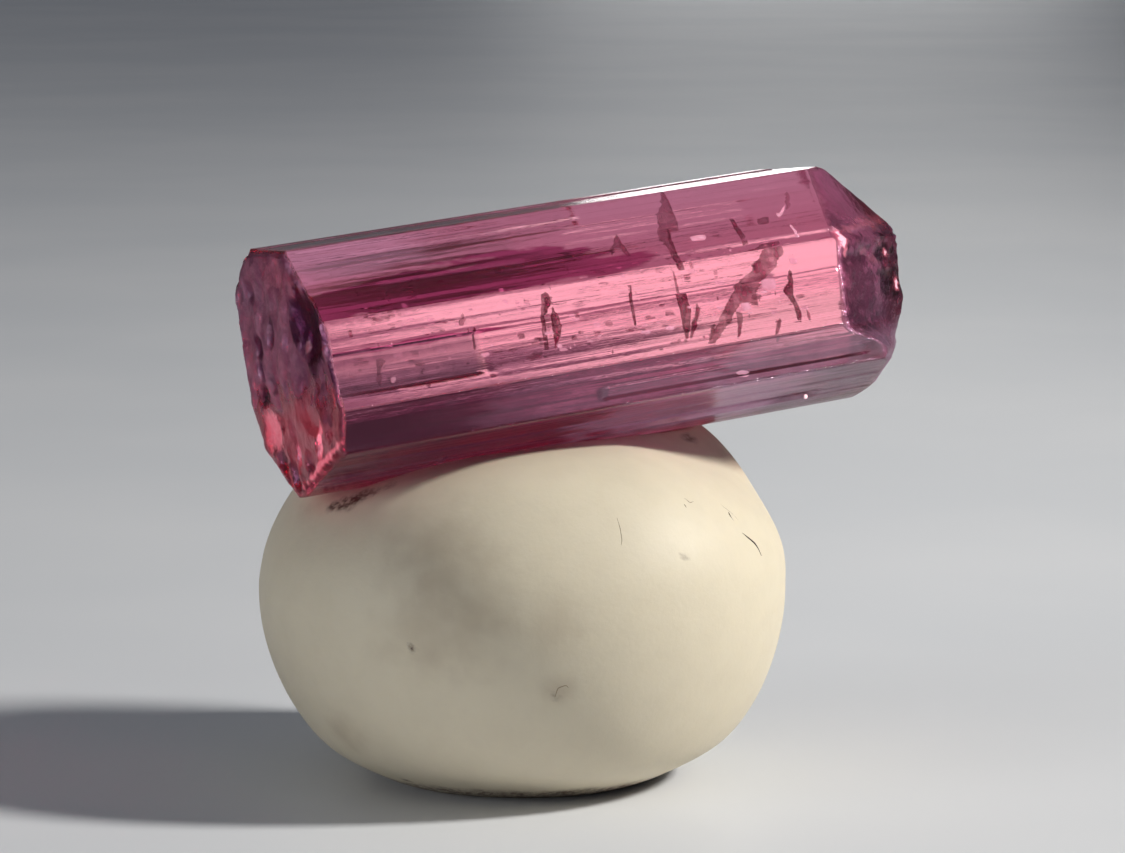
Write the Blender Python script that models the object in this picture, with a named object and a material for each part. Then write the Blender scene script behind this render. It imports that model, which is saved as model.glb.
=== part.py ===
"""A rubellite (red tourmaline) crystal lying in a dent pressed into a ball of beige putty.

The frame: +Z up, the origin at the middle of the ball's flat foot, +X along the crystal as
seen from above, from its broken end to its natural end, and -Y the side that it is shown from.
Lengths in the tables are millimetres, and MM turns them into Blender's metres.
"""
import itertools
import math
import random

import bmesh
import bpy
from mathutils import Euler, Matrix, Vector, noise

MM = 0.001

# The crystal, in its own frame: X along its length from the middle of the broken end,
# -Y its front and Z up. Places in its cross-section are given as (front, up). Each prism face
# has the angle of its normal, in degrees from the front and rising, and its distance from the
# crystal's axis.
CRYSTAL_LENGTH = 20.4
PRISM_FACES = (
    (84.0, 3.50),
    (44.5, 3.11),
    (8.6, 3.34),
    (-17.7, 3.87),
    (-73.8, 3.46),
    (-90.0, 3.78),
    (-126.5, 3.73),
    (-161.0, 3.68),
    (-181.4, 3.58),
    (-232.0, 4.16),
    (-247.0, 4.07),
)

# How the crystal lies: where the middle of its broken end is, how far the other end is
# raised, and how far it is turned about its own axis.
BROKEN_END_AT = (-7.86, -0.95, 12.91)
CRYSTAL_PITCH = 5.85
CRYSTAL_ROLL = -10.1

# The long shallow growth ledges that stripe every prism face.
LEDGE_PITCH = 0.50
LEDGE_DEPTH = 0.05
LEDGE_SLOPE = 0.05
LEDGE_SEED = 11

# Wider plates missing from the prism faces: face, start along the crystal, length, middle
# across the face, width and depth.
SIDE_PLATES = (
    (1, 9.2, 6.0, 0.60, 0.50, 0.07),
    (2, -1.0, 6.0, -0.27, 1.32, 0.09),
    (2, -1.0, 7.1, -1.06, 0.45, 0.13),
    (3, 8.2, 9.0, 0.20, 0.35, 0.07),
    (4, 4.0, 12.5, 0.70, 0.60, 0.08),
    (6, 2.2, 9.0, -0.30, 0.50, 0.09),
    (8, -1.0, 11.5, 0.60, 0.90, 0.10),
    (8, 9.8, 6.5, -0.80, 0.60, 0.07),
    (9, 4.0, 7.5, 0.10, 0.50, 0.08),
)

# The natural end's facets: the way that each runs down, in degrees from the front and rising,
# its slope in degrees, and where its plane meets the crystal's axis.
SUMMIT = (0.0, 0.0, 20.40)
UPPER_FACETS = (
    (0.0, 50.0, 20.65),
    (35.5, 55.0, 21.45),
    (106.0, 50.0, 21.95),
    (160.0, 43.0, 22.10),
    (-150.0, 46.0, 22.60),
    (-70.0, 30.0, 20.87),
)
# The step low on the end, below which the crystal has grown on further at the front.
STEP_AT = -1.50
STEP_WALL = 0.06
LOWER_FACETS = (
    (-40.0, 18.0, 19.38),
    (-150.0, 44.0, 22.00),
)

# Rocky hollows in the natural end: the facet that each is in, its place towards the front and
# up, its radius down the facet, across it and into it, and its turn on the facet.
FRONT_FACET, FRONT_UPPER_FACET, BACK_FACET = UPPER_FACETS[0], UPPER_FACETS[1], UPPER_FACETS[3]
END_HOLLOWS = (
    (FRONT_FACET, 2.15, 0.62, 0.86, 0.32, 0.40, 4.0),
    (FRONT_FACET, 1.70, 1.15, 1.80, 0.34, 0.28, 2.0),
    (FRONT_FACET, 0.75, 0.55, 0.62, 0.40, 0.46, 25.0),
    (FRONT_FACET, 0.25, -0.40, 0.62, 0.56, 0.52, 0.0),
    (FRONT_FACET, 1.20, -1.20, 0.60, 0.20, 0.16, 8.0),
    (FRONT_UPPER_FACET, 1.75, 2.20, 0.30, 0.50, 0.14, 30.0),
    (FRONT_UPPER_FACET, 1.10, 1.75, 0.40, 0.26, 0.16, 0.0),
    (BACK_FACET, -2.10, 0.60, 0.90, 0.60, 0.26, 15.0),
    (LOWER_FACETS[0], 0.40, -2.60, 0.60, 0.36, 0.22, 20.0),
)
HOLLOW_ROUGHNESS = 0.30
HOLLOW_SEED = 5

# The broken end: hollows (positive) and ridges (negative) in a nearly flat break, as place
# towards the front and up, radius in both directions, and depth along the crystal.
BREAK_RELIEF = (
    (1.95, 1.05, 0.80, 1.30, 0.52),
    (0.62, 1.00, 0.26, 2.40, -0.30),
    (-1.35, 0.60, 0.80, 1.20, 0.22),
    (-2.40, -0.70, 0.50, 0.60, 0.20),
    (1.40, -0.70, 0.80, 0.60, 0.22),
    (-1.70, -2.20, 0.34, 0.80, 0.26),
    (-0.65, -2.60, 0.26, 0.80, 0.34),
    (0.50, -2.40, 0.30, 0.85, 0.24),
    (1.60, -2.05, 0.36, 0.70, 0.30),
    (-1.60, 3.35, 0.90, 0.45, 0.10),
)
BREAK_AT = -0.12
BREAK_RIM_QUIET = 0.45
BREAK_ROUGHNESS = 0.10
BREAK_ROUGHNESS_SCALE = 0.80
BREAK_GRID = 0.28
BREAK_GRID_HALF = 4.76
RIM_BEVEL = 0.14
RIM_BEVEL_WIDTH = 0.22
END_MARGIN = 1.50
END_PLATE_HALF = 6.0

# The putty ball, turned about its own middle: radius and height from the edge of the foot,
# over the widest level, to the middle of the top.
FOOT_SINK = 0.40
BALL_PROFILE = (
    (0.00, -FOOT_SINK),
    (2.60, -0.30),
    (3.75, 0.00),
    (4.75, 0.36),
    (6.15, 1.20),
    (7.10, 2.45),
    (7.72, 4.00),
    (7.96, 5.60),
    (7.80, 7.20),
    (7.16, 8.60),
    (6.25, 9.62),
    (5.15, 10.24),
    (3.80, 10.62),
    (2.00, 10.78),
    (0.00, 10.80),
)
BALL_SEGMENTS = 60
BALL_RINGS = 38
LUMP_HEIGHT = 0.09
LUMP_SIZE = 4.5
# How the top was pushed about: it leans right, slopes down a little to the front, and a dent runs
# across it under the crystal, shallower to the right, where the crystal rises out of it.
TOP_FROM = 6.0
TOP_LEAN = 0.35
TOP_SLOPE = 0.03
DENT_DEPTH = 0.50
DENT_HALF_WIDTH = 2.1
DENT_ENDS_AT = 7.0
# To the right the front of the top sags and the back stands up as a hump.
SKEW = 0.80
SKEW_FROM = 1.0
SKEW_TO = 6.0
SKEW_LINE = -1.1
SKEW_WIDTH = 1.4
CLEARANCE = 0.30


def collection(name, helper=False):
    made = bpy.data.collections.new(name)
    bpy.context.scene.collection.children.link(made)
    made.hide_render = helper
    return made


def add_object(name, bm, home, material=None):
    """Turns a bmesh into an object in the collection home. A helper has no material."""
    bmesh.ops.recalc_face_normals(bm, faces=bm.faces)
    mesh = bpy.data.meshes.new(name)
    bm.to_mesh(mesh)
    bm.free()
    obj = bpy.data.objects.new(name, mesh)
    home.objects.link(obj)
    if material:
        mesh.materials.append(material)
    else:
        obj.hide_render = True
        obj.display_type = "WIRE"
    return obj


def make_material(name, colour, roughness, transmission=0.0):
    material = bpy.data.materials.new(name)
    material.use_nodes = True
    shader = material.node_tree.nodes["Principled BSDF"]
    shader.inputs["Base Color"].default_value = (*colour, 1.0)
    shader.inputs["Roughness"].default_value = roughness
    shader.inputs["Metallic"].default_value = 0.0
    shader.inputs["Transmission Weight"].default_value = transmission
    return material


def cut(target, cutters):
    """Takes everything in the collection cutters away from the target, in one go."""
    modifier = target.modifiers.new("cut by " + cutters.name, "BOOLEAN")
    modifier.operation = "DIFFERENCE"
    modifier.operand_type = "COLLECTION"
    modifier.collection = cutters


# ---------------------------------------------------------------- the prism's cross-section


def direction(angle):
    """A direction in the section, as (towards the front, up)."""
    return Vector((math.cos(math.radians(angle)), math.sin(math.radians(angle))))


def prism_corners(grow=0.0):
    """Where neighbouring prism faces meet: corner k lies between face k and face k + 1."""
    corners = []
    for k, (angle, distance) in enumerate(PRISM_FACES):
        next_angle, next_distance = PRISM_FACES[(k + 1) % len(PRISM_FACES)]
        a, b = direction(angle), direction(next_angle)
        here, there = distance + grow, next_distance + grow
        across = a.cross(b)
        corners.append(Vector((here * b.y - there * a.y, there * a.x - here * b.x)) / across)
    return corners


def ledged_outline():
    """The section with the edges of the long growth ledges."""
    chance = random.Random(LEDGE_SEED)
    corners = prism_corners()
    outline = []
    for k, (angle, _) in enumerate(PRISM_FACES):
        start, end = corners[k - 1], corners[k]
        inward = -direction(angle)
        length = (end - start).length
        along = (end - start) / length
        ledges = max(1, round(length / LEDGE_PITCH))
        outline.append(start)
        depth = 0.0
        for i in range(1, ledges):
            place = length * (i + chance.uniform(-0.28, 0.28)) / ledges
            next_depth = chance.uniform(0.0, LEDGE_DEPTH)
            outline.append(start + along * (place - LEDGE_SLOPE) + inward * depth)
            outline.append(start + along * (place + LEDGE_SLOPE) + inward * next_depth)
            depth = next_depth
        outline.append(end - along * LEDGE_SLOPE + inward * depth)
    return outline


def extruded(outline, start, end):
    """A straight bar of this section along X, in a new bmesh."""
    bm = bmesh.new()
    ring = [bm.verts.new(Vector((start, -front, up)) * MM) for front, up in outline]
    made = bmesh.ops.extrude_face_region(bm, geom=[bm.faces.new(ring)])
    moved = [item for item in made["geom"] if isinstance(item, bmesh.types.BMVert)]
    bmesh.ops.translate(bm, verts=moved, vec=Vector(((end - start) * MM, 0.0, 0.0)))
    return bm


# ---------------------------------------------------------------- the crystal's two ends


def outside_block(name, bm, far_side, home):
    """Closes an end's surface into a block that reaches to far_side along the crystal."""
    made = bmesh.ops.extrude_face_region(bm, geom=bm.faces[:])
    for item in made["geom"]:
        if isinstance(item, bmesh.types.BMVert):
            item.co.x = far_side * MM
    return add_object(name, bm, home)


def break_surface(front, up):
    """Where the broken end's surface is, along the crystal."""
    to_rim = min(
        distance - direction(angle).dot((front, up)) for angle, distance in PRISM_FACES
    )
    inside = max(0.0, min(1.0, to_rim / BREAK_RIM_QUIET))
    depth = BREAK_ROUGHNESS * noise.fractal(
        Vector((front, up, 3.0)) / BREAK_ROUGHNESS_SCALE, 0.7, 2.0, 3
    )
    for at_front, at_up, half_width, half_height, deep in BREAK_RELIEF:
        away = math.hypot((front - at_front) / half_width, (up - at_up) / half_height)
        depth += deep * math.exp(-(away**2))
    bevel = RIM_BEVEL * max(0.0, 1.0 - to_rim / RIM_BEVEL_WIDTH)
    return BREAK_AT + inside * depth + bevel


def break_cutter(home):
    """A block beyond the broken end, whose inner face is the rough break."""
    bm = bmesh.new()
    cells = round(2 * BREAK_GRID_HALF / BREAK_GRID)
    bmesh.ops.create_grid(bm, x_segments=cells, y_segments=cells, size=BREAK_GRID_HALF * MM)
    for vertex in bm.verts:
        front, up = vertex.co.x / MM, vertex.co.y / MM
        vertex.co = Vector((break_surface(front, up), -front, up)) * MM
    return outside_block("beyond_the_break", bm, -2 * END_MARGIN, home)


def facet_tilt(facet):
    """The turn that takes the crystal's own direction to a facet's outward normal."""
    way, slope, _ = facet
    run = Vector((0.0, -direction(way).x, direction(way).y))
    return Matrix.Rotation(math.radians(slope), 4, Vector((1.0, 0.0, 0.0)).cross(run))


def facet_gradient(facet):
    """How fast a facet's plane runs down along the crystal, towards the front and up."""
    way, slope, _ = facet
    return direction(way) * math.tan(math.radians(slope))


def facet_height(facet, front, up):
    """Where a facet's plane is, along the crystal."""
    return facet[2] - facet_gradient(facet).dot((front, up))


def natural_end_surface(front, up):
    """Where the natural end's surface is, along the crystal, without its hollows."""
    facets = UPPER_FACETS if up > STEP_AT - STEP_WALL / 2 else LOWER_FACETS
    return min(facet_height(facet, front, up) for facet in (SUMMIT, *facets))


def crease(bm, place, across):
    """Adds the edges where a line in the section crosses the mesh, and clears nothing."""
    bmesh.ops.bisect_plane(
        bm,
        geom=bm.verts[:] + bm.edges[:] + bm.faces[:],
        plane_co=Vector((*place, 0.0)) * MM,
        plane_no=Vector((*across, 0.0)),
    )


def natural_end_cutter(home):
    """A block beyond the natural end: a flat plate creased where facets meet, then raised."""
    bm = bmesh.new()
    bmesh.ops.create_grid(bm, x_segments=1, y_segments=1, size=END_PLATE_HALF * MM)
    for facets in (UPPER_FACETS, LOWER_FACETS):
        for first, second in itertools.combinations((SUMMIT, *facets), 2):
            across = facet_gradient(first) - facet_gradient(second)
            place = across * (first[2] - second[2]) / across.length_squared
            crease(bm, place, across)
    for level in (STEP_AT, STEP_AT - STEP_WALL):
        crease(bm, (0.0, level), (0.0, 1.0))
    for vertex in bm.verts:
        front, up = vertex.co.x / MM, vertex.co.y / MM
        vertex.co = Vector((natural_end_surface(front, up), -front, up)) * MM
    bmesh.ops.triangulate(bm, faces=bm.faces[:])
    return outside_block("beyond_the_facets", bm, CRYSTAL_LENGTH + 2 * END_MARGIN, home)


def hollow_cutter(number, hollow, home):
    """A bluntly faceted stone shape that leaves a pit in the natural end."""
    facet, front, up, down_facet, across, deep, turn = hollow
    chance = random.Random(HOLLOW_SEED + number)
    bm = bmesh.new()
    bmesh.ops.create_icosphere(bm, subdivisions=2, radius=1.0)
    for vertex in bm.verts:
        vertex.co *= 1.0 + HOLLOW_ROUGHNESS * chance.uniform(-1.0, 0.6)
    bmesh.ops.delete(bm, geom=bm.edges[:], context="EDGES_FACES")
    hull = bmesh.ops.convex_hull(bm, input=bm.verts[:])
    inside = [item for item in hull["geom_interior"] if isinstance(item, bmesh.types.BMVert)]
    bmesh.ops.delete(bm, geom=inside, context="VERTS")
    bmesh.ops.recalc_face_normals(bm, faces=bm.faces[:])
    bmesh.ops.scale(bm, verts=bm.verts, vec=Vector((deep, down_facet, across)) * MM)
    turned = Matrix.Rotation(math.radians(turn), 4, "X")
    along = facet_height(facet, front, up)
    shift = Matrix.Translation(Vector((along, -front, up)) * MM)
    bmesh.ops.transform(bm, matrix=shift @ facet_tilt(facet) @ turned, verts=bm.verts)
    return add_object(f"hollow_{number}", bm, home)


def plate_cutter(number, plate, home):
    """A thin slab that takes a shallow plate off one prism face."""
    face, start, length, across, width, depth = plate
    angle, distance = PRISM_FACES[face]
    corners = prism_corners()
    middle = (corners[face - 1] + corners[face]) / 2
    out = direction(angle)
    along = Vector((-out.y, out.x))
    centre = out * distance + along * (along.dot(middle) + across)
    bm = bmesh.new()
    bmesh.ops.create_cube(bm, size=1.0)
    bmesh.ops.scale(bm, verts=bm.verts, vec=Vector((length, 2 * depth, width)) * MM)
    turn = Matrix.Rotation(math.radians(-angle), 4, "X")
    shift = Matrix.Translation(Vector((start + length / 2, -centre.x, centre.y)) * MM)
    bmesh.ops.transform(bm, matrix=shift @ turn, verts=bm.verts)
    return add_object(f"plate_{number}", bm, home)


def lay_down(obj):
    """Puts an object made in the crystal's own frame where the crystal lies."""
    obj.location = Vector(BROKEN_END_AT) * MM
    obj.rotation_euler = Euler(
        (math.radians(CRYSTAL_ROLL), math.radians(-CRYSTAL_PITCH), 0.0), "XYZ"
    )


def make_crystal(home):
    bar = extruded(ledged_outline(), -END_MARGIN, CRYSTAL_LENGTH + END_MARGIN)
    colour = make_material("rubellite", (0.62, 0.09, 0.22), 0.08, transmission=1.0)
    crystal = add_object("rubellite_crystal", bar, home, colour)
    cutters = collection("crystal_cutters", helper=True)
    break_cutter(cutters)
    natural_end_cutter(cutters)
    for number, plate in enumerate(SIDE_PLATES):
        plate_cutter(number, plate, cutters)
    for number, hollow in enumerate(END_HOLLOWS):
        hollow_cutter(number, hollow, cutters)
    for piece in (crystal, *cutters.objects):
        lay_down(piece)
    cut(crystal, cutters)


# ---------------------------------------------------------------- the putty ball


def profile_point(fraction):
    """The radius and height at this fraction of the way along the smoothed profile."""
    place = fraction * (len(BALL_PROFILE) - 1)
    k = min(int(place), len(BALL_PROFILE) - 2)
    t = place - k
    before, start, end, after = (
        Vector(BALL_PROFILE[max(0, min(i, len(BALL_PROFILE) - 1))])
        for i in (k - 1, k, k + 1, k + 2)
    )
    curve = (
        2 * start
        + (end - before) * t
        + (2 * before - 5 * start + 4 * end - after) * t**2
        + (3 * start - before - 3 * end + after) * t**3
    )
    return curve / 2


def putty_point(unit):
    """Where a point of the unit sphere goes on the putty ball."""
    level = math.acos(max(-1.0, min(1.0, -unit.z))) / math.pi
    radius, height = profile_point(level)
    around = Vector((unit.x, unit.y, 0.0))
    if around.length > 0.0:
        around.normalize()
    point = around * radius + Vector((0.0, 0.0, height))
    lump = LUMP_HEIGHT * noise.noise(point / LUMP_SIZE + Vector((4.0, 9.0, 2.0)))
    point += unit * lump
    top = max(0.0, min(1.0, (height - TOP_FROM) / (BALL_PROFILE[-1][1] - TOP_FROM)))
    point.x += TOP_LEAN * top
    beside = (point.y - BROKEN_END_AT[1]) / DENT_HALF_WIDTH
    dent = DENT_DEPTH * math.exp(-(beside**2))
    dent *= max(0.0, min(1.2, 1.0 - point.x / DENT_ENDS_AT))
    right = max(0.0, min(1.0, (point.x - SKEW_FROM) / (SKEW_TO - SKEW_FROM)))
    skew = SKEW * right**2 * (3 - 2 * right) * math.tanh((point.y - SKEW_LINE) / SKEW_WIDTH)
    point.z += top * (TOP_SLOPE * point.y - dent + skew)
    return point


def make_putty(home):
    bm = bmesh.new()
    bmesh.ops.create_uvsphere(
        bm, u_segments=BALL_SEGMENTS, v_segments=BALL_RINGS, radius=1.0
    )
    for vertex in bm.verts:
        vertex.co = putty_point(vertex.co.normalized()) * MM
    foot = bmesh.ops.bisect_plane(
        bm,
        geom=bm.verts[:] + bm.edges[:] + bm.faces[:],
        plane_co=(0.0, 0.0, 0.0),
        plane_no=(0.0, 0.0, 1.0),
        clear_inner=True,
    )
    rim = [item for item in foot["geom_cut"] if isinstance(item, bmesh.types.BMEdge)]
    bmesh.ops.contextual_create(bm, geom=rim)
    colour = make_material("putty", (0.60, 0.53, 0.38), 0.62)
    putty = add_object("putty_ball", bm, home, colour)
    cutters = collection("putty_cutters", helper=True)
    press = extruded(prism_corners(CLEARANCE), -CLEARANCE, CRYSTAL_LENGTH)
    lay_down(add_object("crystal_with_clearance", press, cutters))
    cut(putty, cutters)


def main():
    for obj in list(bpy.data.objects):
        bpy.data.objects.remove(obj, do_unlink=True)
    home = collection("rubellite_on_putty")
    make_crystal(home)
    make_putty(home)


main()
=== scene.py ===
"""A raspberry-pink rubellite crystal lying in a dent in a ball of beige putty, on a pale table.

Tables of sizes are in millimetres, and MM turns them into metres. A place in the crystal is
given as (along, front, up): along its length from the middle of the broken end, and towards
the front and up in its cross-section.
"""
import math
import random

import bmesh
import bpy
import numpy as np
from mathutils import Euler, Matrix, Vector, noise
from mathutils.geometry import delaunay_2d_cdt


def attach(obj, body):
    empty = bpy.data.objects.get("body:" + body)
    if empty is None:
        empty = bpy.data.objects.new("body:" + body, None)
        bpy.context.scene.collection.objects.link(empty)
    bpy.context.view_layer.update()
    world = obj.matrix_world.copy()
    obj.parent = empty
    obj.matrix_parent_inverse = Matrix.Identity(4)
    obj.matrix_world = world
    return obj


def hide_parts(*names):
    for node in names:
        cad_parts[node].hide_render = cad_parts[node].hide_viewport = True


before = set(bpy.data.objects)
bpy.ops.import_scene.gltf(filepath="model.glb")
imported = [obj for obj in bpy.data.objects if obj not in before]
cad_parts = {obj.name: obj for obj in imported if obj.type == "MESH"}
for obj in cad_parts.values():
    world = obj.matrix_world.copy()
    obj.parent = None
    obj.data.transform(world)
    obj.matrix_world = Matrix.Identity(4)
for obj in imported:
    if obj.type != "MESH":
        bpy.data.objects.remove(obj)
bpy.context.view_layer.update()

MM = 0.001

# ---------------------------------------------------------------- the crystal's sizes

# Prism faces: the angle of the outward normal from the front and rising, and the distance
# from the crystal's axis.
PRISM_FACES = (
    (84.0, 3.50),
    (44.5, 3.11),
    (8.6, 3.34),
    (-17.7, 3.87),
    (-73.8, 3.46),
    (-90.0, 3.78),
    (-126.5, 3.73),
    (-161.0, 3.68),
    (-181.4, 3.58),
    (-232.0, 4.16),
    (-247.0, 4.07),
)

# Where the middle of the broken end is, and how the crystal lies: raised towards its natural
# end, and rolled about its length.
BROKEN_END_AT = (-7.86, -0.95, 12.91)
CRYSTAL_PITCH = 5.85
CRYSTAL_ROLL = -10.1

# Long growth ledges that stripe the prism faces.
LEDGE_PITCH = 0.50
LEDGE_DEPTH = 0.05
LEDGE_SLOPE = 0.05
LEDGE_JITTER = 0.28
LEDGE_SEED = 11

# Wider plates missing from the prism faces: face, start along the crystal, length, middle
# across the face, width, depth and how dull the plate's place is.
SIDE_PLATES = (
    (1, 12.0, 6.0, 1.30, 0.35, 0.03, 0.0),
    (1, 0.2, 6.6, -0.75, 1.20, 0.02, 0.08),
    (1, 2.2, 4.6, 0.60, 0.50, 0.02, 0.15),
    (2, -1.0, 5.5, 0.28, 1.20, 0.07, 0.50),
    (2, 1.9, 2.9, 0.92, 0.06, 0.03, 0.0),
    (3, 8.2, 9.0, 0.20, 0.35, 0.05, 0.1),
    (4, 4.0, 12.5, 0.70, 0.60, 0.08, 0.1),
    (6, 2.2, 9.0, -0.30, 0.50, 0.09, 0.2),
    (8, -1.0, 11.5, 0.60, 0.90, 0.10, 0.2),
    (8, 9.8, 6.5, -0.80, 0.60, 0.07, 0.0),
    (9, 4.0, 7.5, 0.10, 0.50, 0.08, 0.3),
)
PLATE_SIDE_SLOPE = 0.10
PLATE_END_SLOPE = 0.16

# Soft changes of tone on the prism faces: face, middle along the crystal and across the face,
# half length, half width, how dull, how much painted shade darkens the stone, and how much
# painted sheen glows there in place of reflected light.
SIDE_TONES = (
    (1, 3.6, 0.90, 4.4, 0.90, 0.0, 1.0, 0.0),
    (1, 6.5, 0.72, 2.8, 0.95, 0.0, 1.0, 0.0),
    (1, 8.9, 1.10, 1.9, 0.45, 0.0, 0.75, 0.0),
    (1, -0.2, 1.30, 1.6, 0.85, 0.0, 1.0, 0.0),
    (1, 1.2, -0.85, 3.0, 0.75, 0.0, 0.0, 0.85),
    (2, 2.1, -0.31, 3.4, 0.09, 0.0, 1.0, 0.0),
    (3, 2.6, 0.10, 5.0, 1.00, 0.0, 0.60, 0.0),
    (3, 8.6, 0.00, 4.2, 1.00, 0.0, 0.0, 0.50),
    (3, 15.0, -0.10, 3.4, 0.90, 0.40, 0.0, 0.0),
    (4, 3.6, -1.20, 6.5, 2.00, 0.0, 0.75, 0.15),
    (4, 11.9, -0.60, 3.9, 2.40, 0.30, 0.0, 1.0),
    (4, 15.6, -0.60, 3.6, 2.40, 0.45, 0.0, 0.0),
)

# How tones and marks fade: gone at this many times their size, over this much of it. The
# edges of the tones are made ragged by noise (size, seed, octaves) that is drawn out
# lengthwise.
TONE_REACH = 1.25
TONE_FADE = 0.60
TONE_RAGGED = (0.26, 21, 3)
TONE_RAGGED_SHARE = 0.34
TONE_DRAWN = 0.22

# The natural end's facets: the way that each runs down, its slope, and where its plane meets
# the axis.
SUMMIT = (0.0, 0.0, 20.40)
UPPER_FACETS = (
    (0.0, 50.0, 20.65),
    (35.5, 55.0, 21.45),
    (106.0, 50.0, 21.95),
    (160.0, 43.0, 22.10),
    (-150.0, 46.0, 22.60),
    (-70.0, 30.0, 20.87),
)

# A step parts them from the lower ones: its place up, and half its wall's height.
STEP_AT = -1.95
STEP_WALL = 0.50
LOWER_FACETS = (
    (0.0, 35.0, 20.05),
    (-60.0, 45.6, 22.00),
    (-90.0, 40.0, 21.75),
    (-150.0, 44.0, 22.00),
)

# Hollows and ridges on the natural end: place towards the front and up, half width, half
# height, turn in degrees, depth along the crystal, and tone, from -1 for painted light
# (glints and lit streaks) to 1 for painted shade.
TIP_MARKS = (
    (0.94, -0.43, 0.44, 0.38, 10.0, 0.12, 1.0),
    (0.99, 0.51, 0.42, 0.36, -10.0, 0.14, 1.0),
    (0.45, 0.30, 0.34, 0.30, 0.0, 0.08, 0.6),
    (2.60, -0.35, 0.75, 0.90, 0.0, 0.0, 0.80),
    (2.88, 0.50, 0.28, 0.20, 0.0, 0.14, 0.9),
    (2.04, 0.54, 0.36, 0.22, 0.0, 0.16, 0.9),
    (2.75, 1.62, 0.60, 0.46, 20.0, 0.10, 0.7),
    (2.30, 1.50, 0.30, 0.26, 0.0, 0.10, 0.6),
    (1.66, 0.43, 0.08, 0.42, -56.0, -0.05, -0.30),
    (0.88, 1.47, 0.13, 0.66, 86.0, -0.08, -0.35),
    (1.70, 1.40, 1.35, 0.085, -2.5, -0.06, -0.40),
    (3.04, 1.16, 0.15, 0.24, 30.0, -0.04, -1.0),
    (3.00, 0.63, 0.09, 0.10, 0.0, 0.0, -0.9),
    (0.79, 0.46, 0.10, 0.11, 0.0, 0.0, -1.0),
    (0.51, -0.50, 0.10, 0.12, 0.0, 0.0, -1.0),
    (1.00, -1.10, 0.55, 0.50, 0.0, 0.06, 0.25),
    (0.15, -0.40, 0.40, 0.50, 0.0, 0.08, 0.7),
    (-2.10, 0.60, 0.60, 0.50, 0.0, 0.22, 0.5),
    (-0.90, 1.40, 0.42, 0.34, 30.0, 0.18, 0.5),
    (-1.60, -1.20, 0.50, 0.40, 0.0, 0.18, 0.5),
)

# The broken end: smooth shell-like scoops, ridges and streaks, given in the same way.
BREAK_MARKS = (
    (1.98, 1.12, 0.98, 1.14, 12.0, 0.46, 1.0),
    (2.50, -0.55, 0.72, 0.86, 18.0, 0.22, 0.35),
    (1.05, -0.45, 0.80, 0.70, -24.0, 0.16, 0.40),
    (1.47, 0.52, 0.12, 0.18, 0.0, -0.05, -0.35),
    (0.00, 0.85, 0.26, 1.45, -25.0, -0.14, -0.12),
    (-2.13, 2.44, 0.34, 0.34, 0.0, 0.12, 0.5),
    (-2.90, 2.50, 0.30, 0.40, 20.0, 0.10, 0.3),
    (-1.25, 2.05, 0.55, 0.62, 30.0, 0.10, 0.25),
    (-0.86, 1.09, 0.24, 0.42, -25.0, 0.16, 0.85),
    (-2.10, 0.76, 0.34, 0.38, 0.0, 0.14, 0.90),
    (-2.15, 0.08, 0.22, 0.36, 20.0, 0.12, 0.7),
    (-1.40, -0.35, 0.24, 0.34, 50.0, 0.12, 0.6),
    (-2.28, -0.67, 0.40, 0.34, 0.0, 0.16, 1.0),
    (-2.70, 1.60, 0.60, 0.80, 0.0, 0.10, 0.15),
    (3.26, -0.20, 0.12, 0.55, 0.0, 0.05, 0.9),
    (-2.05, -1.70, 0.60, 0.62, 20.0, 0.16, -0.80),
    (-1.20, -1.45, 0.40, 0.30, 0.0, 0.10, -0.25),
    (-0.45, -1.80, 0.24, 0.42, 10.0, 0.12, 0.55),
    (-1.61, -2.59, 0.32, 0.46, 24.0, 0.20, 0.8),
    (-0.28, -2.38, 0.17, 0.42, 0.0, 0.16, -0.7),
    (-0.80, -3.10, 0.26, 0.46, 14.0, 0.20, 0.9),
    (-1.30, -3.10, 0.10, 0.30, 20.0, 0.05, -0.35),
    (0.60, -2.75, 0.34, 0.40, 0.0, 0.16, 0.55),
    (1.20, -1.55, 0.66, 0.42, -20.0, 0.14, -0.32),
    (1.48, -2.20, 0.16, 0.50, -10.0, 0.14, -0.92),
    (2.40, -1.75, 0.30, 0.52, -10.0, 0.16, 0.6),
    (1.50, -2.85, 0.10, 1.55, -71.6, 0.0, -0.9),
    (0.30, -2.00, 2.20, 0.95, 0.0, 0.0, -0.34),
)

# Noise and cells over the natural end. Noise has a size, a seed and octaves, and cells have a
# size and a seed.
TIP_NOISE_AT = 9.0
STEP_WAVES = (0.55, 15, 2)
STEP_WAVE_HEIGHT = 0.12
TIP_BLOCKS = (0.24, 5)
TIP_BLOCK_GAP = 0.35
TIP_GRIT = (0.26, 4, 2)
TIP_GRIT_SHARE = 0.14
TIP_SWELL = (0.9, 6, 4)
TIP_SWELL_HEIGHT = 0.035
TIP_PIT_DEPTH = 0.6
TIP_RIM_QUIET = 0.4
TIP_BEVEL = 0.16
TIP_BEVEL_WIDTH = 0.16

# A slanting band of raised blocks across the natural end.
BAND_UP = 0.95
BAND_SLANT = 0.25
BAND_WIDTH = 0.45
BAND_HEIGHT = 0.06

# The natural end's tones: dull, but clearer above a line, with painted shade that fades
# towards its low edge, and a painted sheen of reflected light below that.
TIP_DULL = 0.26
TIP_CLEARER = 0.12
TIP_CLEAR_ABOVE = 1.2
BAND_DULL = 0.4
TIP_SHADE_NOISE = (0.7, 8, 3)
TIP_SHADE_AMOUNT = 0.34
TIP_SHADE_UNEVEN = 0.12
TIP_SHADE_FROM = -2.2
TIP_PAINTED_SHEEN = 0.9
TIP_PAINTED_SHEEN_BELOW = -1.5

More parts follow.
